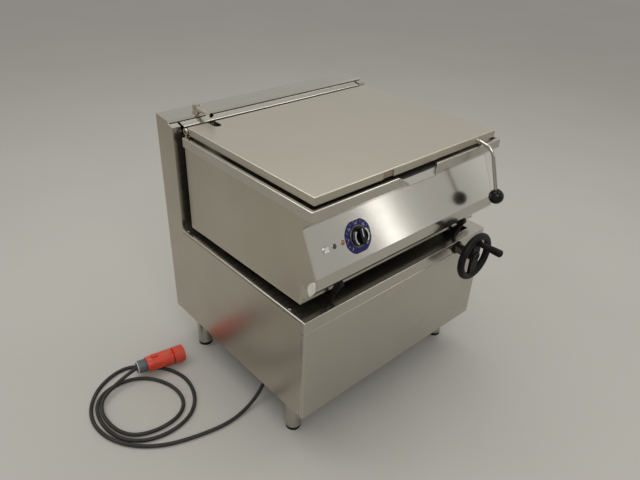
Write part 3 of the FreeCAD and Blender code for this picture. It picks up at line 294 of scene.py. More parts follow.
class Finish(Enum):
    """Every finish on the pan, named for its material and how its surface was made."""

    # Belt-ground sheet: a soft mirror that smears what stands before it along the scratches.
    SHEET_ACROSS = BrushedStainless("Stainless sheet brushed across", "#C6C3BA", "#B9B5AA",
                                    Grain.ACROSS, 0.22)
    SHEET_DEEP = BrushedStainless("Stainless sheet brushed front to back", "#C2BCAF", "#B4AD9E",
                                  Grain.DEEP, 0.28)
    # Wiped for years: the scratches have closed up into an even, warm satin.
    LID = BrushedStainless("Stainless lid brushed across", "#C4BFB1", "#BAB4A5", Grain.ACROSS, 0.34)
    # Polished finer than the sheets: the rod, the ball and a window show in it.
    PANEL = BrushedStainless("Stainless panel brushed across", "#CAC8C0", "#C0BCB2", Grain.ACROSS, 0.12)
    # Ground plate inside the tub: duller, with broad scouring marks.
    TUB = BrushedStainless("Stainless plate ground", "#C4C2BC", "#B6B2A8", Grain.ACROSS, 0.3)
    # Drawn tube: long streaks up its length.
    TUBE = BrushedStainless("Stainless tube drawn", "#C0BDB4", "#AFABA0", Grain.UPRIGHT, 0.16)
    # Plated rod and trim: a bright mirror, clouded a little by handling.
    CHROME = PlatedMetal("Steel chromium plated", "#BDB9B0", 0.14)
    # Bare turned steel: dark, with a soft highlight round it.
    TURNED = PlatedMetal("Steel turned", "#6A6660", 0.25)
    # Zinc plate: grey, dull and blotched.
    ZINC = PlatedMetal("Steel zinc plated", "#8F9092", 0.42, 0.12, 14.0)
    # Turned bronze and brass: warm, with a satin lathe finish.
    BRONZE = PlatedMetal("Bronze turned", "#A8804A", 0.34)
    # Sand-cast iron under oil: dark, with a pitted gloss.
    IRON = PlatedMetal("Iron cast and oiled", "#4A4846", 0.62, 0.1, 4.0)
    # Baked enamel over rough brackets, black as painted shade: it sinks into the dark of the gap below the pan.
    SHADE_ENAMEL = Moulding("Steel stove enamelled black as painted shade", "#121212", "#1C1B1A", 0.42, gloss=0.2)
    # Pressed from powder in a polished die: black, with a wet-looking skin.
    BLACK = Moulding("Thermoset moulded black", "#0F0F10", "#1B1A19", 0.22, coat=0.05, gloss=0.2)
    # Moulded in an eroded die: matt black, greyed where hands and dust have been.
    WHEEL = Moulding("Polyamide moulded black", "#121112", "#201E1D", 0.5, 1.6, 0.14, gloss=0.16)
    # Slate grey from an eroded die: flat and even.
    GREY = Moulding("Polyamide moulded grey", "#4A5053", "#5F625F", 0.5)
    # Off-white from a smooth die: milky, with a soft sheen.
    WHITE = Moulding("Polystyrene moulded white", "#DAD8D1", "#C4C0B4", 0.42)
    # Signal red that has lost some of its gloss to scuffing.
    RED = Moulding("Polyamide moulded red", "#C8381F", "#B4533A", 0.42, 1.4, 0.1)
    # Extruded rubber: dull black under floor dust.
    CORD = Moulding("Rubber sheath extruded", "#24221F", "#3A3731", 0.6, 2.0, 0.16, 45.0, gloss=0.35)
    # Screen-printed plate: an even dark blue with a slight sheen.
    DIAL = Moulding("Aluminium plate printed blue", "#121050", "#1A1858", 0.34, skin_bump=0.03, gloss=0.3)
    # Opaque ink over it: pale and cool, flat against the blue.
    PRINT = Moulding("Ink printed white", "#CDD0DE", "#B4B8CB", 0.45, skin_bump=0.02)
    # Clear moulded lenses over unlit lamps: deep in colour under a hard gloss.
    ORANGE = Moulding("Acrylic lens orange", "#9C5A26", "#7E3F12", 0.16, skin_bump=0.02, coat=0.8)
    GREEN = Moulding("Acrylic lens green", "#10291C", "#0B1E14", 0.16, skin_bump=0.02, coat=0.8)
    # A brown board behind the lid's window, painted as the shaded recess seen through it.
    SHADE_BOARD = Moulding("Board painted as shade", "#857665", "#786A59", 0.8, 2.0, 0.2)
    # Spun fibre slab: a dry, fuzzy surface with no gloss.
    WOOL = Moulding("Mineral wool slab", "#A08D5A", "#8C7A4B", 0.9, 2.5, 0.6)

    def __init__(self, recipe: BrushedStainless | PlatedMetal | Moulding) -> None:
        """Keep the recipe, and make its material when it is first asked for.

        Args:
            recipe: How the finish's material is made.
        """
        self.recipe = recipe
        self._material: bpy.types.Material | None = None

    @property
    def material(self) -> bpy.types.Material:
        """The finish's one material.

        Returns:
            The material, the same one each time.
        """
        if self._material is None:
            self._material = self.recipe.material()
        return self._material


def shade_smooth(mesh: bpy.types.Mesh, crease_deg: float = 32.0) -> None:
    """Smooth a mesh's shading, with sharp edges above an angle.

    Args:
        mesh: The mesh to shade.
        crease_deg: The angle between faces from which an edge stays sharp.
    """
    mesh.shade_smooth()
    mesh.set_sharp_from_angle(angle=math.radians(crease_deg))


def show(name: str, data: bpy.types.ID) -> bpy.types.Object:
    """Put an object in the scene.

    Args:
        name: The object's name.
        data: Its mesh, curve, lamp or lens.

    Returns:
        The new object.
    """
    shown = bpy.data.objects.new(name, data)
    bpy.context.scene.collection.objects.link(shown)
    return shown


def finished(name: str, shape: bmesh.types.BMesh) -> bpy.types.Mesh:
    """Turn a shape in the making into a smoothly shaded mesh.

    Args:
        name: The mesh's name.
        shape: The shape, which is freed.

    Returns:
        The mesh.
    """
    mesh = bpy.data.meshes.new(name)
    shape.to_mesh(mesh)
    shape.free()
    shade_smooth(mesh)
    return mesh


def from_front(place: Sequence[float]) -> Vector:
    """Turn a place measured from the stand's front face into one in the part's frame.

    Args:
        place: Across, behind the stand's front and up, in millimetres.

    Returns:
        The place in metres.
    """
    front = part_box("front_panel")[0][1]
    return Vector((place[0] * MM, place[1] * MM + front, place[2] * MM))


def lifted(profile: Points, rise: float) -> list[tuple[float, float]]:
    """Shift a profile along its axis.

    Args:
        profile: The profile's points.
        rise: The shift in millimetres.

    Returns:
        The shifted points.
    """
    return [(along + rise, radius) for along, radius in profile]


def add_piece(name: str, mesh: bpy.types.Mesh, body: str, finish: Finish,
              replaces: Sequence[str] = (), bevel_mm: float = 0.0) -> bpy.types.Object:
    """Put a new piece in the scene, on its body and with its finish.

    Args:
        name: The piece's name.
        mesh: Its mesh, in the part's frame.
        body: The body that it moves with.
        finish: Its finish.
        replaces: The solid pieces that it stands for.
        bevel_mm: The width of its edges' rounding, or none.

    Returns:
        The new object.
    """
    piece = show(name, mesh)
    piece.data.materials.append(finish.material)
    if bevel_mm:
        soften(piece, bevel_mm)
    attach(piece, body)
    if replaces:
        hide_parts(*replaces)
    LOG.info("%s on %s", name, body)
    return piece


def soften(piece: bpy.types.Object, width_mm: float, segments: int = 2, crease_deg: float = 40.0) -> None:
    """Round a piece's sharp edges.

    Args:
        piece: The piece to round.
        width_mm: The rounding's width.
        segments: The number of faces across it.
        crease_deg: The angle between faces from which an edge is rounded.
    """
    bevel = piece.modifiers.new("Rounded edges", "BEVEL")
    bevel.width = width_mm * MM
    bevel.segments = segments
    bevel.limit_method = "ANGLE"
    bevel.angle_limit = math.radians(crease_deg)
    bevel.harden_normals = True


def dress(nodes: Iterable[str], finish: Finish, bevel_mm: float = 0.0) -> None:
    """Give solid pieces a finish and softened edges.

    Args:
        nodes: The pieces' names.
        finish: Their finish.
        bevel_mm: The width of their edges' rounding, or none.
    """
    for name in nodes:
        piece = NODES[name]
        piece.data.materials.clear()
        piece.data.materials.append(finish.material)
        if bevel_mm:
            soften(piece, bevel_mm)
        LOG.info("%s dressed as %s", name, finish.recipe.name)


def turning_frame(origin: Vector, axis: Vector) -> Matrix:
    """Make a local frame whose z runs along an axis and whose x stays level.

    Args:
        origin: The frame's origin.
        axis: The direction of its z.

    Returns:
        The frame as a matrix.
    """
    z = axis.normalized()
    x = Vector((1, 0, 0)) if abs(z.x) < NEAR_PARALLEL else Vector((0, 1, 0))
    y = z.cross(x).normalized()
    x = y.cross(z)
    turn = Matrix((x, y, z)).transposed().to_4x4()
    return Matrix.Translation(origin) @ turn


def lathe(name: str, profile: Points, place: Matrix, sides: int = 48,
          wave: Callable[[float, float], float] | None = None) -> bpy.types.Mesh:
    """Turn a profile round an axis.

    Args:
        name: The mesh's name.
        profile: Distance along the axis and radius of each ring, in millimetres.
        place: The frame whose z is the axis.
        sides: The number of points in a ring.
        wave: A factor on the radius by turn and distance, for flutes and flats.

    Returns:
        A closed mesh.
    """
    shape = bmesh.new()
    rings = []
    for along, radius in profile:
        ring = []
        for side in range(sides):
            turn = 2 * math.pi * side / sides
            reach = radius * (wave(turn, along) if wave else 1.0)
            point = Vector((reach * math.cos(turn), reach * math.sin(turn), along)) * MM
            ring.append(shape.verts.new(place @ point))
        rings.append(ring)
    for low, high in zip(rings, rings[1:]):
        for side in range(sides):
            after = (side + 1) % sides
            shape.faces.new((low[side], low[after], high[after], high[side]))
    shape.faces.new(rings[0][::-1])
    shape.faces.new(rings[-1])
    bmesh.ops.recalc_face_normals(shape, faces=shape.faces)
    return finished(name, shape)


def slab(name: str, outline: Points, low: float, high: float, place: Matrix) -> bpy.types.Mesh:
    """Push a flat outline up from one height to another.

    Args:
        name: The mesh's name.
        outline: The outline's points in millimetres.
        low: The height of its underside.
        high: The height of its top.
        place: The frame that it is drawn in.

    Returns:
        A closed mesh.
    """
    shape = bmesh.new()
    bottom = [shape.verts.new(place @ (Vector((x, y, low)) * MM)) for x, y in outline]
    top = [shape.verts.new(place @ (Vector((x, y, high)) * MM)) for x, y in outline]
    count = len(outline)
    for index in range(count):
        after = (index + 1) % count
        shape.faces.new((bottom[index], bottom[after], top[after], top[index]))
    shape.faces.new(bottom[::-1])
    shape.faces.new(top)
    bmesh.ops.recalc_face_normals(shape, faces=shape.faces)
    return finished(name, shape)


def strip(name: str, section: Points, left: float, right: float) -> bpy.types.Mesh:
    """Run a small section across the pan.

    Args:
        name: The mesh's name.
        section: Depth behind the stand's front and height of the section's points, in millimetres.
        left: The strip's left end.
        right: The strip's right end.

    Returns:
        A closed mesh.
    """
    front = Matrix.Translation(from_front((0, 0, 0)))
    across = Matrix(((0, 0, 1, 0), (1, 0, 0, 0), (0, 1, 0, 0), (0, 0, 0, 1)))
    return slab(name, section, left, right, front @ across)


def lettering(name: str, text: str, size_mm: float, place: Matrix, depth_mm: float = 0.05) -> bpy.types.Mesh:
    """Cut a plain figure as a thin flat mesh.

    Args:
        name: The mesh's name.
        text: The figure.
        size_mm: Its height.
        place: The frame that it lies in, centred on the origin.
        depth_mm: How far it stands out to each side of that plane.

    Returns:
        The figure's mesh.
    """
    curve = bpy.data.curves.new(name, "FONT")
    curve.body = text
    curve.size = size_mm * MM
    curve.extrude = depth_mm * MM
    curve.align_x = "CENTER"
    curve.align_y = "CENTER"
    maker = show(name, curve)
    drawn = maker.evaluated_get(bpy.context.evaluated_depsgraph_get())
    mesh = bpy.data.meshes.new_from_object(drawn)
    bpy.data.objects.remove(maker)
    bpy.data.curves.remove(curve)
    mesh.name = name
    mesh.transform(place)
    return mesh


def joined(name: str, meshes: Sequence[bpy.types.Mesh]) -> bpy.types.Mesh:
    """Join several meshes into one.

    Args:
        name: The new mesh's name.
        meshes: The meshes to join.

    Returns:
        The joined mesh.
    """
    shape = bmesh.new()
    for part in meshes:
        shape.from_mesh(part)
    return finished(name, shape)


def centre_of(node: str) -> Vector:
    """Find the middle of a solid piece's box.

    Args:
        node: The piece's name.

    Returns:
        The middle, in metres.
    """
    low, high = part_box(node)
    return (Vector(low) + Vector(high)) / 2


@dataclass
class Stand:
    """Sheet-clad base, rear upstand, legs and filling spout."""

    edge_mm: float = 0.5
    dome_mm: float = 1.4
    fronts: tuple[str, ...] = ("front_panel", "deck", "upstand_front", "upstand_cap", "back_panel")
    sides: tuple[str, ...] = ("side_panel_left", "side_panel_right")
    legs: tuple[str, ...] = ("leg_front_left", "leg_front_right", "leg_rear_left", "leg_rear_right")
    hidden: tuple[str, ...] = ("base_frame", "base_floor", "tilt_lever", "drive_link")
    # Depth and height of the deck's folded lower edge, and of the black strip at the cap's foot, painted as the
    # shadow line under its step.
    fold_mm: Points = ((0.1, 455.5), (1.5, 457.5), (1.5, 455.5))
    shadow_line_mm: Points = ((626.2, 846.0), (628.8, 846.6), (629.6, 848.2), (629.0, 848.2), (628.2, 847.2),
                       (626.2, 846.7))
    shadow_line_inset_mm: float = 4.0

    def build(self) -> None:
        """Dress the stand's pieces and the drive inside it, and add its fold and the black strip painted as shadow
        at the cap's foot.
        """
        dress(self.fronts, Finish.SHEET_ACROSS, self.edge_mm)
        dress(self.sides, Finish.SHEET_DEEP, self.edge_mm)
        dress(self.legs, Finish.TUBE, self.edge_mm)
        # The feet are moulded black, and their dark band also stands in for the shade at the legs' foot.
        dress(("levelling_feet",), Finish.WHEEL, self.edge_mm)
        dress(self.hidden, Finish.ZINC, self.edge_mm)
        dress(("spout_stub", "spout_tube"), Finish.SHEET_DEEP, self.edge_mm)
        # Painted shade: the pivot brackets, arms and pins are black so that they read as the dark gap below the
        # pan.
        dress(("pivot_brackets", "tilt_arms", "pivot_pins"), Finish.SHADE_ENAMEL, self.edge_mm)
        dress(("frame_screws",), Finish.CHROME, self.dome_mm)
        dress(("front_bush",), Finish.WHEEL, self.edge_mm)
        dress(("drive_nut",), Finish.BRONZE, self.edge_mm)
        dress(("rear_bearing",), Finish.IRON, self.edge_mm)
        dress(("terminal_box", "thermostat", "cable_gland"), Finish.GREY, self.edge_mm)
        low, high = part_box("front_panel")
        fold = strip("deck_fold", self.fold_mm, low[0] / MM, high[0] / MM)
        add_piece("deck_fold", fold, BODY_OF["deck"], Finish.SHEET_ACROSS)
        # Painted shadow: a black rubber strip along the foot of the cap's step.
        low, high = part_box("upstand_cap")
        left, right = low[0] / MM + self.shadow_line_inset_mm, high[0] / MM - self.shadow_line_inset_mm
        shadow_line = strip("cap_shadow_line", self.shadow_line_mm, left, right)
        add_piece("cap_shadow_line", shadow_line, BODY_OF["upstand_cap"], Finish.CORD)


@dataclass
class Pan:
    """Tub in its rim, with the casing round it."""

    edge_mm: float = 0.5
    dome_mm: float = 1.4
    cap_edge_mm: float = 1.0

    def build(self) -> None:
        """Dress the pan's sheets and what they hide."""
        dress(("rim_frame", "casing_tray", "casing_back", "console_band"), Finish.SHEET_ACROSS, self.edge_mm)
        dress(("casing_left", "casing_right"), Finish.SHEET_DEEP, self.edge_mm)
        dress(("control_panel",), Finish.PANEL, self.edge_mm)
        dress(("tub",), Finish.TUB, self.edge_mm)
        dress(("heating_elements",), Finish.TUBE)
        dress(("insulation",), Finish.WOOL)
        dress(("casing_screws",), Finish.CHROME, self.dome_mm)
        dress(("console_end_caps",), Finish.WHITE, self.cap_edge_mm)


@dataclass
class Lid:
    """Pressed lid with its bent rod handle and ball."""

    edge_mm: float = 0.4
    ball_mm: float = 23.0
    neck_mm: float = 9.0
    # Height above the ball and change of radius along its collar, round the rod.
    collar_mm: Points = ((1.5, 0.0), (2.2, -0.8))
    rings: int = 24
    # The ball's far end is cut off by this angle, so that its last ring has a width.
    pole_rad: float = 0.02
    # Depth and height of the board behind the flange's window, painted as the shade seen through it, and its two
    # ends.
    shade_board_mm: Points = ((16.0, 823.5), (17.5, 823.5), (17.5, 842.5), (16.0, 842.5))
    shade_board_span_mm: tuple[float, float] = (-136.0, -92.0)

    def build(self) -> None:
        """Dress the lid, back its window and turn its ball."""
        dress(("lid_skin", "lid_apron"), Finish.LID, self.edge_mm)
        dress(("lid_handle",), Finish.CHROME)
        dress(("lid_hinge_pins",), Finish.TURNED)
        # Painted shade: a brown board seen through the flange's window.
        shade_board = strip("lid_shade_board", self.shade_board_mm, *self.shade_board_span_mm)
        add_piece("lid_shade_board", shade_board, BODY_OF["lid_skin"], Finish.SHADE_BOARD)
        centre = centre_of("lid_ball")
        rod_low, rod_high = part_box("lid_handle")
        bend = Vector((rod_low[0], centre.y, rod_high[2]))
        place = turning_frame(centre, bend - centre)
        start = math.asin(self.neck_mm / self.ball_mm)
        pole = math.pi - self.pole_rad
        profile = []
        for ring in range(self.rings + 1):
            turn = pole - (pole - start) * ring / self.rings
            profile.append((self.ball_mm * math.cos(turn), self.ball_mm * math.sin(turn)))
        top = profile[-1][0]
        profile += [(top + rise, self.neck_mm + step) for rise, step in self.collar_mm]
        mesh = lathe("lid_ball_turned", profile, place)
        add_piece("lid_ball_turned", mesh, BODY_OF["lid_ball"], Finish.BLACK,
                  ("lid_ball",))


@dataclass
class Console:
    """Dial, knob, lamps and reset cap on the slanted panel."""

    dial_mm: float = 47.0
    dial_half_mm: tuple[float, float] = (45.0, 43.5)
    dial_plate_mm: float = 0.8
    dial_edge_mm: float = 0.3
    dial_steps: int = 96
    print_mm: float = 0.1
    tick_ring_mm: tuple[float, float] = (38.5, 42.0)
    tick_width_mm: float = 0.9
    tick_count: int = 16
    sweep_deg: float = 270.0
    figures: tuple[str, ...] = ("0", "50", "100", "150", "200", "250", "300")
    figure_mm: float = 6.0
    figure_ring_mm: float = 35.0
    # Heights on the knob are measured from its underside, a running gap above the plate.
    knob_gap_mm: float = 0.4
    knob_edge_mm: float = 1.2
    knob_sides: int = 64
    skirt_mm: Points = ((0.0, 20.0), (0.0, 26.0), (5.5, 25.2), (7.0, 23.0), (7.0, 6.0))
    bezel_mm: Points = ((0.0, 26.1), (0.0, 30.0), (1.2, 30.0), (2.4, 27.5), (2.0, 26.1))
    bar_half_mm: tuple[float, float] = (8.0, 22.0)
    bar_span_mm: tuple[float, float] = (1.0, 21.0)
    # Below one, this power fills out the bar's ellipse towards a rectangle.
    bar_power: float = 0.6
    bar_steps: int = 48
    pointer_mm: Points = ((-1.1, -2.0), (1.1, -2.0), (1.1, 20.5), (-1.1, 20.5))
    pointer_span_mm: tuple[float, float] = (20.6, 21.3)
    trim_ring_mm: tuple[float, float] = (20.5, 25.5)
    trim_half_deg: float = 48.0
    trim_span_mm: tuple[float, float] = (6.0, 16.0)
    trim_edge_mm: float = 0.6
    trim_steps: int = 12
    lamp_height_mm: float = 5.0
    lamp_sides: int = 32
    lamp_bezel_mm: Points = ((0.0, 4.0), (0.0, 7.0), (0.8, 7.0), (1.5, 6.4), (1.0, 5.8))
    lens_mm: float = 6.0
    lens_foot_mm: float = 0.5
    lens_rise_mm: float = 0.8
    lens_rings: int = 8
    # The dome stops short of its pole by this share of a ring.
    lens_open: float = 0.2
    reset_foot_mm: Points = ((0.0, 4.0), (0.0, 10.0), (0.8, 10.0), (1.2, 9.5), (1.2, 4.0))
    reset_cap_mm: Points = ((1.2, 3.0), (1.2, 9.3), (3.4, 9.2), (4.6, 8.1), (4.9, 6.0), (4.4, 3.4),
                            (3.6, 3.0), (3.6, 0.6))
    reset_sides: int = 72
    lobe_depth: float = 0.45
    lobe_power: int = 6
    place: Matrix = field(default_factory=lambda: turning_frame(
        Vector(JOINTS["knob_turn"]["pos_m"]), Vector(JOINTS["knob_turn"]["axis"])))

    def local(self, x: float, y: float, turn: float = 0.0, lift: float = 0.0) -> Matrix:
        """Make a frame on the panel.

        Args:
            x: The shift across the panel in millimetres.
            y: The shift up the panel.
            turn: The turn about the panel's normal in radians.
            lift: The shift out of the panel.

        Returns:
            The frame as a matrix.
        """
        return self.place @ Matrix.Translation(Vector((x, y, lift)) * MM) @ Matrix.Rotation(turn, 4, "Z")

    def spot(self, node: str) -> Matrix:
        """Make a frame on the panel under a lamp or cap.

        Args:
            node: The solid piece's name.

        Returns:
            The frame as a matrix.
        """
        normal = Vector(JOINTS["knob_turn"]["axis"])
        return turning_frame(centre_of(node) - normal * self.lamp_height_mm * MM / 2, normal)

    def build_dial(self) -> None:
        """Make the printed plate with its ticks and figures."""
        half_x, half_y = self.dial_half_mm
        outline = []
        for step in range(self.dial_steps):
            turn = 2 * math.pi * step / self.dial_steps
            x = max(-half_x, min(half_x, self.dial_mm * math.cos(turn)))
            y = max(-half_y, min(half_y, self.dial_mm * math.sin(turn)))
            outline.append((x, y))
        body, slot = BODY_OF["dial_plate"], SLOTS["dial_plate"]
        plate = slab("dial_face", outline, 0.0, self.dial_plate_mm, self.place)
        add_piece("dial_face", plate, body, Finish.DIAL, ("dial_plate",), self.dial_edge_mm)
        marks = []
        low, high = self.dial_plate_mm, self.dial_plate_mm + self.print_mm
        inner, outer = self.tick_ring_mm
        half = self.tick_width_mm / 2
        tick_shape = [(inner, -half), (outer, -half), (outer, half), (inner, half)]
        start = math.radians(270 - (360 - self.sweep_deg) / 2)
        for tick in range(self.tick_count):
            turn = start - math.radians(self.sweep_deg) * tick / (self.tick_count - 1)
            marks.append(slab("tick", tick_shape, low, high, self.local(0, 0, turn)))
        for index, figure in enumerate(self.figures):
            turn = start - math.radians(self.sweep_deg) * index / (len(self.figures) - 1)
            x = self.figure_ring_mm * math.cos(turn)
            y = self.figure_ring_mm * math.sin(turn)
            spot = self.local(x, y, turn - math.pi / 2, high)
            marks.append(lettering("figure", figure, self.figure_mm, spot))
        add_piece("dial_marks", joined("dial_marks", marks), body, Finish.PRINT)

    def bar_outline(self) -> list[tuple[float, float]]:
        """Draw the knob's grip bar from above.

        Returns:
            The outline's points in millimetres.
        """
        half_x, half_y = self.bar_half_mm
        outline = []
        for step in range(self.bar_steps):
            turn = 2 * math.pi * step / self.bar_steps
            x = math.copysign(abs(math.cos(turn)) ** self.bar_power, math.cos(turn)) * half_x
            y = math.copysign(abs(math.sin(turn)) ** self.bar_power, math.sin(turn)) * half_y
            outline.append((x, y))
        return outline

    def build_knob(self) -> None:
        """Make the knob's skirt, grip bar, pointer, trims and ring."""
        low = self.dial_plate_mm + self.knob_gap_mm
        body, slot, ring_slot = BODY_OF["control_knob"], SLOTS["control_knob"], SLOTS["knob_ring"]
        skirt = lathe("skirt", lifted(self.skirt_mm, low), self.place, self.knob_sides)
        bottom, top = self.bar_span_mm
        bar = slab("bar", self.bar_outline(), low + bottom, low + top, self.place)
        grip = joined("knob_grip", [skirt, bar])
        add_piece("knob_grip", grip, body, Finish.BLACK, ("control_knob",), self.knob_edge_mm)
        bottom, top = self.pointer_span_mm
        pointer = slab("knob_pointer", self.pointer_mm, low + bottom, low + top, self.place)
        add_piece("knob_pointer", pointer, body, Finish.PRINT)
        trims = []
        inner, outer = self.trim_ring_mm
        bottom, top = self.trim_span_mm
        steps = range(-self.trim_steps, self.trim_steps + 1)
        for middle in (0.0, math.pi):
            turns = [middle + math.radians(self.trim_half_deg) * step / self.trim_steps for step in steps]
            arc = [(outer * math.cos(turn), outer * math.sin(turn)) for turn in turns]
            arc += [(inner * math.cos(turn), inner * math.sin(turn)) for turn in reversed(turns)]
            trims.append(slab("trim", arc, low + bottom, low + top, self.place))
        trim = joined("knob_trims", trims)
        add_piece("knob_trims", trim, body, Finish.CHROME, (), self.trim_edge_mm)
        ring = lathe("knob_bezel", lifted(self.bezel_mm, low), self.place, self.knob_sides)
        add_piece("knob_bezel", ring, body, Finish.TURNED, ("knob_ring",))

    def build_lamps(self) -> None:
        """Make each lamp's bezel and lens."""
        dome = [(self.lens_foot_mm, self.lens_mm)]
        rise = self.lamp_height_mm - self.lens_rise_mm
        for step in range(1, self.lens_rings + 1):
            turn = math.pi / 2 * step / (self.lens_rings + self.lens_open)
            dome.append((self.lens_rise_mm + rise * math.sin(turn), self.lens_mm * math.cos(turn)))
        for node, finish in (("lamp_orange", Finish.ORANGE), ("lamp_green", Finish.GREEN)):
            spot = self.spot(node)
            bezel = lathe(node + "_bezel", self.lamp_bezel_mm, spot, self.lamp_sides)
            add_piece(node + "_bezel", bezel, BODY_OF[node], Finish.PANEL)
            lens = lathe(node + "_lens", dome, spot, self.lamp_sides)
            add_piece(node + "_lens", lens, BODY_OF[node], finish, (node,))

    def build_reset(self) -> None:
        """Make the reset button's foot and lobed cap."""

        def lobes(turn: float, along: float) -> float:
            """Sink four finger hollows into the cap, alike all along it.

            Args:
                turn: The angle round the axis.
                along: The distance along it.

            Returns:
                The factor on the radius.
            """
            return 1.0 - self.lobe_depth * math.cos(2 * turn) ** self.lobe_power

        spot = self.spot("reset_cap")
        body = BODY_OF["reset_cap"]
        foot = lathe("reset_foot", self.reset_foot_mm, spot)
        add_piece("reset_foot", foot, body, Finish.PANEL)
        cap = lathe("reset_button", self.reset_cap_mm, spot, self.reset_sides, lobes)
        add_piece("reset_button", cap, body, Finish.WHITE, ("reset_cap",))

    def build(self) -> None:
        """Build all that stands on the panel."""
        self.build_dial()
        self.build_knob()
        self.build_lamps()
        self.build_reset()


@dataclass
class Handwheel:
    """Crank wheel of the tilt drive with its turning grip."""

    wheel_edge_mm: float = 1.2
    grip_mm: tuple[float, ...] = (8.6, 9.6, 10.6, 11.6, 12.0)
    grip_bore_mm: float = 4.2
    grip_foot_mm: float = 1.0
    grip_sides: int = 40
    # The grip's rounded end: its length as a share of the radius, and how far short of its pole it stops.
    end_share: float = 0.7
    end_rings: int = 8
    end_open: float = 0.3

    def build(self) -> None:
        """Dress the wheel and turn its grip."""
        dress(("handwheel",), Finish.WHEEL, self.wheel_edge_mm)
        dress(("spindle",), Finish.TURNED)
        dress(("grip_bolt",), Finish.CHROME)
        low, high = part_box("grip")
        middle = centre_of("grip")
        length = (high[1] - low[1]) / MM
        place = turning_frame(Vector((middle.x, high[1], middle.z)), Vector((0, -1, 0)))
        thin, full = self.grip_mm[0], self.grip_mm[-1]
        straight = length - full * self.end_share
        profile = [(0.0, self.grip_bore_mm), (0.0, thin - self.grip_foot_mm), (self.grip_foot_mm, thin)]
        for step, radius in enumerate(self.grip_mm[1:], 1):
            profile.append((straight * step / (len(self.grip_mm) - 1), radius))
        for ring in range(1, self.end_rings + 1):
            turn = math.pi / 2 * ring / (self.end_rings + self.end_open)
            profile.append((straight + full * self.end_share * math.sin(turn), full * math.cos(turn)))
        mesh = lathe("grip_turned", profile, place, self.grip_sides)
        add_piece("grip_turned", mesh, BODY_OF["grip"], Finish.WHEEL, ("grip",))


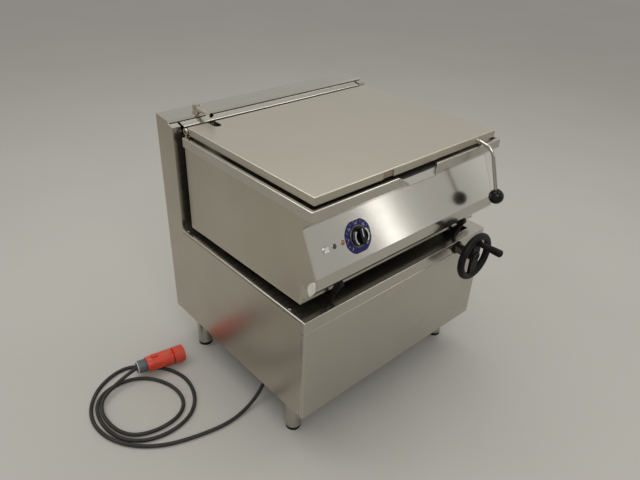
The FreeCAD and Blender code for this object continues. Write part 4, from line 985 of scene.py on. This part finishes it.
@dataclass
class SupplyCord:
    """Rubber lead laid in loops on the floor, and its red plug."""

    radius_mm: float = 6.0
    # Route in millimetres from the stand's front face, from the gland to the plug's mouth.
    route: tuple[tuple[float, float, float], ...] = (
        (-318, 270, 122), (-318, 270, 90), (-333, 264, 51), (-372, 251, 24), (-424, 236, 11),
        (-480, 227, 6), (-538, 228, 6), (-626, 248, 6), (-706, 278, 6), (-775, 333, 6),
        (-818, 402, 6), (-832, 474, 6), (-822, 533, 6), (-799, 577, 6), (-759, 620, 6),
        (-704, 648, 6), (-650, 655, 6), (-611, 637, 6), (-571, 598, 6), (-531, 551, 6),
        (-511, 491, 6), (-514, 434, 6), (-535, 377, 6), (-575, 333, 6), (-627, 313, 6),
        (-686, 312, 6), (-747, 333, 6), (-794, 384, 6), (-811, 455, 6), (-806, 519, 6),
        (-788, 563, 6), (-747, 595, 6), (-690, 601, 6), (-640, 586, 6), (-596, 548, 6),
        (-567, 489, 6), (-560, 432, 6), (-572, 386, 6), (-602, 355, 6), (-644, 342, 6),
        (-699, 344, 6), (-754, 366, 7), (-785, 406, 12), (-797, 452, 17), (-796, 503, 18),
        (-778, 548, 18), (-741, 575, 20), (-692, 587, 29), (-656, 591, 38), (-629, 594, 41),
    )
    plug_end: tuple[float, float, float] = (-465, 574, 31)
    length_m: float = 2.75
    bevel_resolution: int = 5
    spline_resolution: int = 6
    # The white ring painted as the highlight on the plug's mouth, and the nut, are measured from the nut's mouth,
    # its shell and latch from the nut's end, its groove and socket from the shell's end, and its rim from the
    # plug's end.
    gland_mm: float = 33.0
    body_mm: float = 92.0
    mouth_highlight_mm: Points = ((0.8, 16.0), (0.8, 20.0), (2.4, 20.6), (2.4, 16.0))
    nut_mm: Points = ((0.0, 7.0), (0.0, 17.6), (1.0, 19.0), (3.0, 20.0), (8.0, 21.8), (12.0, 22.6),
                      (29.0, 23.2), (31.0, 21.6), (gland_mm, 21.6))
    nut_sides: int = 80
    # Flats come in pairs, and leave the nut's mouth round.
    flat_pairs: int = 5
    flat_depth: float = 0.035
    flat_start_mm: float = 6.0
    shell_mm: Points = ((0.0, 18.0), (0.0, 24.2), (2.0, 25.6), (18.0, 26.8), (32.0, 27.2), (46.0, 27.6),
                        (60.0, 28.2), (body_mm - 10.0, 28.6), (body_mm - 2.0, 28.6),
                        (body_mm - 0.6, 27.6), (body_mm, 26.0), (body_mm, 18.0))
    shell_sides: int = 72
    rib_count: int = 6
    rib_depth: float = 0.05
    rib_middle_mm: float = 30.0
    rib_spread_mm: float = 18.0
    latch_mm: Points = ((-7.0, 23.0), (7.0, 23.0), (7.0, 31.0), (5.5, 32.5), (-5.5, 32.5), (-7.0, 31.0))
    latch_span_mm: tuple[float, float] = (18.0, 40.0)
    groove_mm: Points = ((0.0, 16.0), (0.0, 21.0), (3.0, 21.0), (3.0, 28.4), (4.0, 29.4))
    rim_mm: Points = ((-4.0, 29.4), (-0.8, 29.4), (0.0, 28.6), (0.0, 26.4), (-1.0, 25.6))
    socket_mm: Points = ((10.0, 25.6), (10.0, 4.0))

    def build_cord(self) -> bpy.types.Object:
        """Lay the cord.

        Returns:
            The cord's curve.
        """
        curve = bpy.data.curves.new("supply_cord", "CURVE")
        curve.dimensions = "3D"
        curve.bevel_depth = self.radius_mm * MM
        curve.bevel_resolution = self.bevel_resolution
        curve.resolution_u = self.spline_resolution
        curve.use_fill_caps = True
        line = curve.splines.new("NURBS")
        line.points.add(len(self.route) - 1)
        for target, place in zip(line.points, self.route):
            target.co = (*from_front(place), 1.0)
        line.order_u = 3
        line.use_endpoint_u = True
        cord = show("supply_cord", curve)
        curve.materials.append(Finish.CORD.material)
        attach(cord, BODY_OF["cord"])
        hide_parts("cord")
        return cord

    def build_plug(self) -> list[bpy.types.Object]:
        """Make the plug's gland nut, body and sleeve.

        Returns:
            The plug's pieces, its pins included.
        """
        mouth, end = from_front(self.route[-1]), from_front(self.plug_end)
        place = turning_frame(mouth, end - mouth)
        total = (end - mouth).length / MM
        body_end = self.gland_mm + self.body_mm

        def flats(turn: float, along: float) -> float:
            """Cut flats round the gland nut, behind its mouth.

            Args:
                turn: The angle round the axis.
                along: The distance along it.

            Returns:
                The factor on the radius.
            """
            depth = self.flat_depth if along > self.flat_start_mm else 0.0
            return 1.0 - depth * abs(math.sin(self.flat_pairs * turn))

        def ribs(turn: float, along: float) -> float:
            """Press shallow grip hollows into the plug's body.

            Args:
                turn: The angle round the axis.
                along: The distance along it.

            Returns:
                The factor on the radius.
            """
            waist = math.exp(-((along - self.gland_mm - self.rib_middle_mm) / self.rib_spread_mm) ** 2)
            return 1.0 - self.rib_depth * waist * (0.5 + 0.5 * math.cos(self.rib_count * turn))

        highlight_ring = lathe("plug_mouth_highlight", self.mouth_highlight_mm, place)
        gland = lathe("plug_nut", self.nut_mm, place, self.nut_sides, flats)
        shell = lathe("shell", lifted(self.shell_mm, self.gland_mm), place, self.shell_sides, ribs)
        low, high = self.latch_span_mm
        latch = slab("latch", self.latch_mm, self.gland_mm + low, self.gland_mm + high, place)
        body = joined("plug_shell", [shell, latch])
        profile = lifted(self.groove_mm, body_end) + lifted(self.rim_mm, total)
        profile += lifted(self.socket_mm, body_end)
        sleeve = lathe("plug_shroud", profile, place, self.shell_sides)
        pieces = []
        for name, mesh, finish in (("plug_gland", gland, Finish.GREY), ("plug_body", body, Finish.RED),
                                   ("plug_sleeve", sleeve, Finish.RED)):
            pieces.append(add_piece(mesh.name, mesh, BODY_OF[name], finish, (name,)))
        nut_body, nut_slot = BODY_OF["plug_gland"], SLOTS["plug_gland"]
        # Painted highlight: a white ring on the nut's mouth.
        pieces.append(add_piece("plug_mouth_highlight", highlight_ring, nut_body, Finish.WHITE))
        dress(("plug_pins",), Finish.BRONZE)
        return pieces + [NODES["plug_pins"]]

    def build(self) -> None:
        """Build the cord and plug."""
        cord = self.build_cord()
        plug = self.build_plug()


@dataclass(frozen=True)
class Lamp:
    """Soft rectangular lamp: its place, the point that it faces and its size in metres, and its power."""

    name: str
    spot: tuple[float, float, float]
    aim: tuple[float, float, float]
    size: tuple[float, float]
    watts: float

    def build(self) -> None:
        """Hang the lamp."""
        light = bpy.data.lights.new(self.name, "AREA")
        light.shape = "RECTANGLE"
        light.size, light.size_y = self.size
        light.energy = self.watts
        lamp = show(self.name, light)
        lamp.location = self.spot
        lamp.rotation_euler = (Vector(self.aim) - Vector(self.spot)).to_track_quat("-Z", "Y").to_euler()


@dataclass
class Studio:
    """Pale floor, soft lights and the camera at the photograph's angle."""

    floor_half_m: float = 14.0
    floor_colour: str = "#B2AFA8"
    floor_worn: str = "#AAA7A0"
    floor_patch_mm: float = 769.2308
    floor_roughness: float = 0.6
    sky_colour: str = "#E6E5E2"
    sky_strength: float = 0.66
    eye_mm: tuple[float, float, float] = (-1160.57, -857.81, 1455.70)
    azimuth_deg: float = 43.089
    down_deg: float = 31.545
    roll_deg: float = 2.4388
    focal_px: float = 574.72
    frame_px: float = 640.0
    sensor_mm: float = 36.0
    lamps: tuple[Lamp, ...] = (
        Lamp("Key", (-1.6, -2.6, 3.4), (0, 0, 0.5), (2.0, 2.0), 44),
        Lamp("Window", (2.04, -2.58, 1.15), (0, 0, 0.7), (0.13, 1.4), 1.6),
        Lamp("Wall", (3.3, -1.5, 1.3), (0, 0, 0.7), (1.8, 2.0), 3.0),
        Lamp("Edge", (1.98, -0.49, 3.15), (0, 0, 0.8), (2.0, 0.6), 14),
        Lamp("Back", (-1.8, 1.8, 3.07), (0, 0, 0.7), (1.6, 1.0), 14),
        Lamp("Top", (0.2, 0.8, 3.6), (0, 0, 0.6), (3.0, 2.4), 40),
    )

    def build_camera(self) -> None:
        """Set up the camera."""
        azimuth, down = math.radians(self.azimuth_deg), math.radians(self.down_deg)
        reach = math.cos(down)
        ahead = Vector((math.sin(azimuth) * reach, math.cos(azimuth) * reach, -math.sin(down)))
        level = Vector((math.cos(azimuth), -math.sin(azimuth), 0))
        upward = level.cross(ahead)
        turn = Matrix((level, upward, -ahead)).transposed().to_4x4()
        roll = Matrix.Rotation(math.radians(self.roll_deg), 4, "Z")
        lens = bpy.data.cameras.new("Photograph")
        lens.sensor_width = self.sensor_mm
        lens.lens = self.sensor_mm * self.focal_px / self.frame_px
        camera = show("Photograph", lens)
        camera.matrix_world = Matrix.Translation(from_front(self.eye_mm)) @ turn @ roll
        bpy.context.scene.camera = camera

    def build_floor(self) -> None:
        """Lay the pale floor."""
        half = self.floor_half_m
        mesh = bpy.data.meshes.new("floor")
        corners = [(-half, -half, 0), (half, -half, 0), (half, half, 0), (-half, half, 0)]
        mesh.from_pydata(corners, [], [(0, 1, 2, 3)])
        floor = show("floor", mesh)
        material, tree, shader = blank_material("Floor coating pale")
        place = add_node(tree, "ShaderNodeTexCoord").outputs["Object"]
        cloud = clouds(tree, place, self.floor_patch_mm, 4.0)
        tint = blend(tree, self.floor_colour, self.floor_worn, cloud)
        tree.links.new(tint, shader.inputs["Base Color"])
        shader.inputs["Roughness"].default_value = self.floor_roughness
        floor.data.materials.append(material)

    def build(self) -> None:
        """Build the camera, the floor and the lights."""
        self.build_camera()
        self.build_floor()
        for lamp in self.lamps:
            lamp.build()
        world = bpy.data.worlds.new("Studio")
        bpy.context.scene.world = world
        world.use_nodes = True
        sky = world.node_tree.nodes["Background"]
        sky.inputs["Color"].default_value = linear(self.sky_colour)
        sky.inputs["Strength"].default_value = self.sky_strength
        bpy.context.scene.view_settings.view_transform = "Standard"


def main() -> None:
    """Build every sub-assembly in order."""
    logging.basicConfig(level=logging.INFO, format="%(message)s")
    for maker in (Studio(), SupplyCord(), Stand(), Pan(), Lid(), Console(), Handwheel()):
        maker.build()


if __name__ == "__main__":
    main()
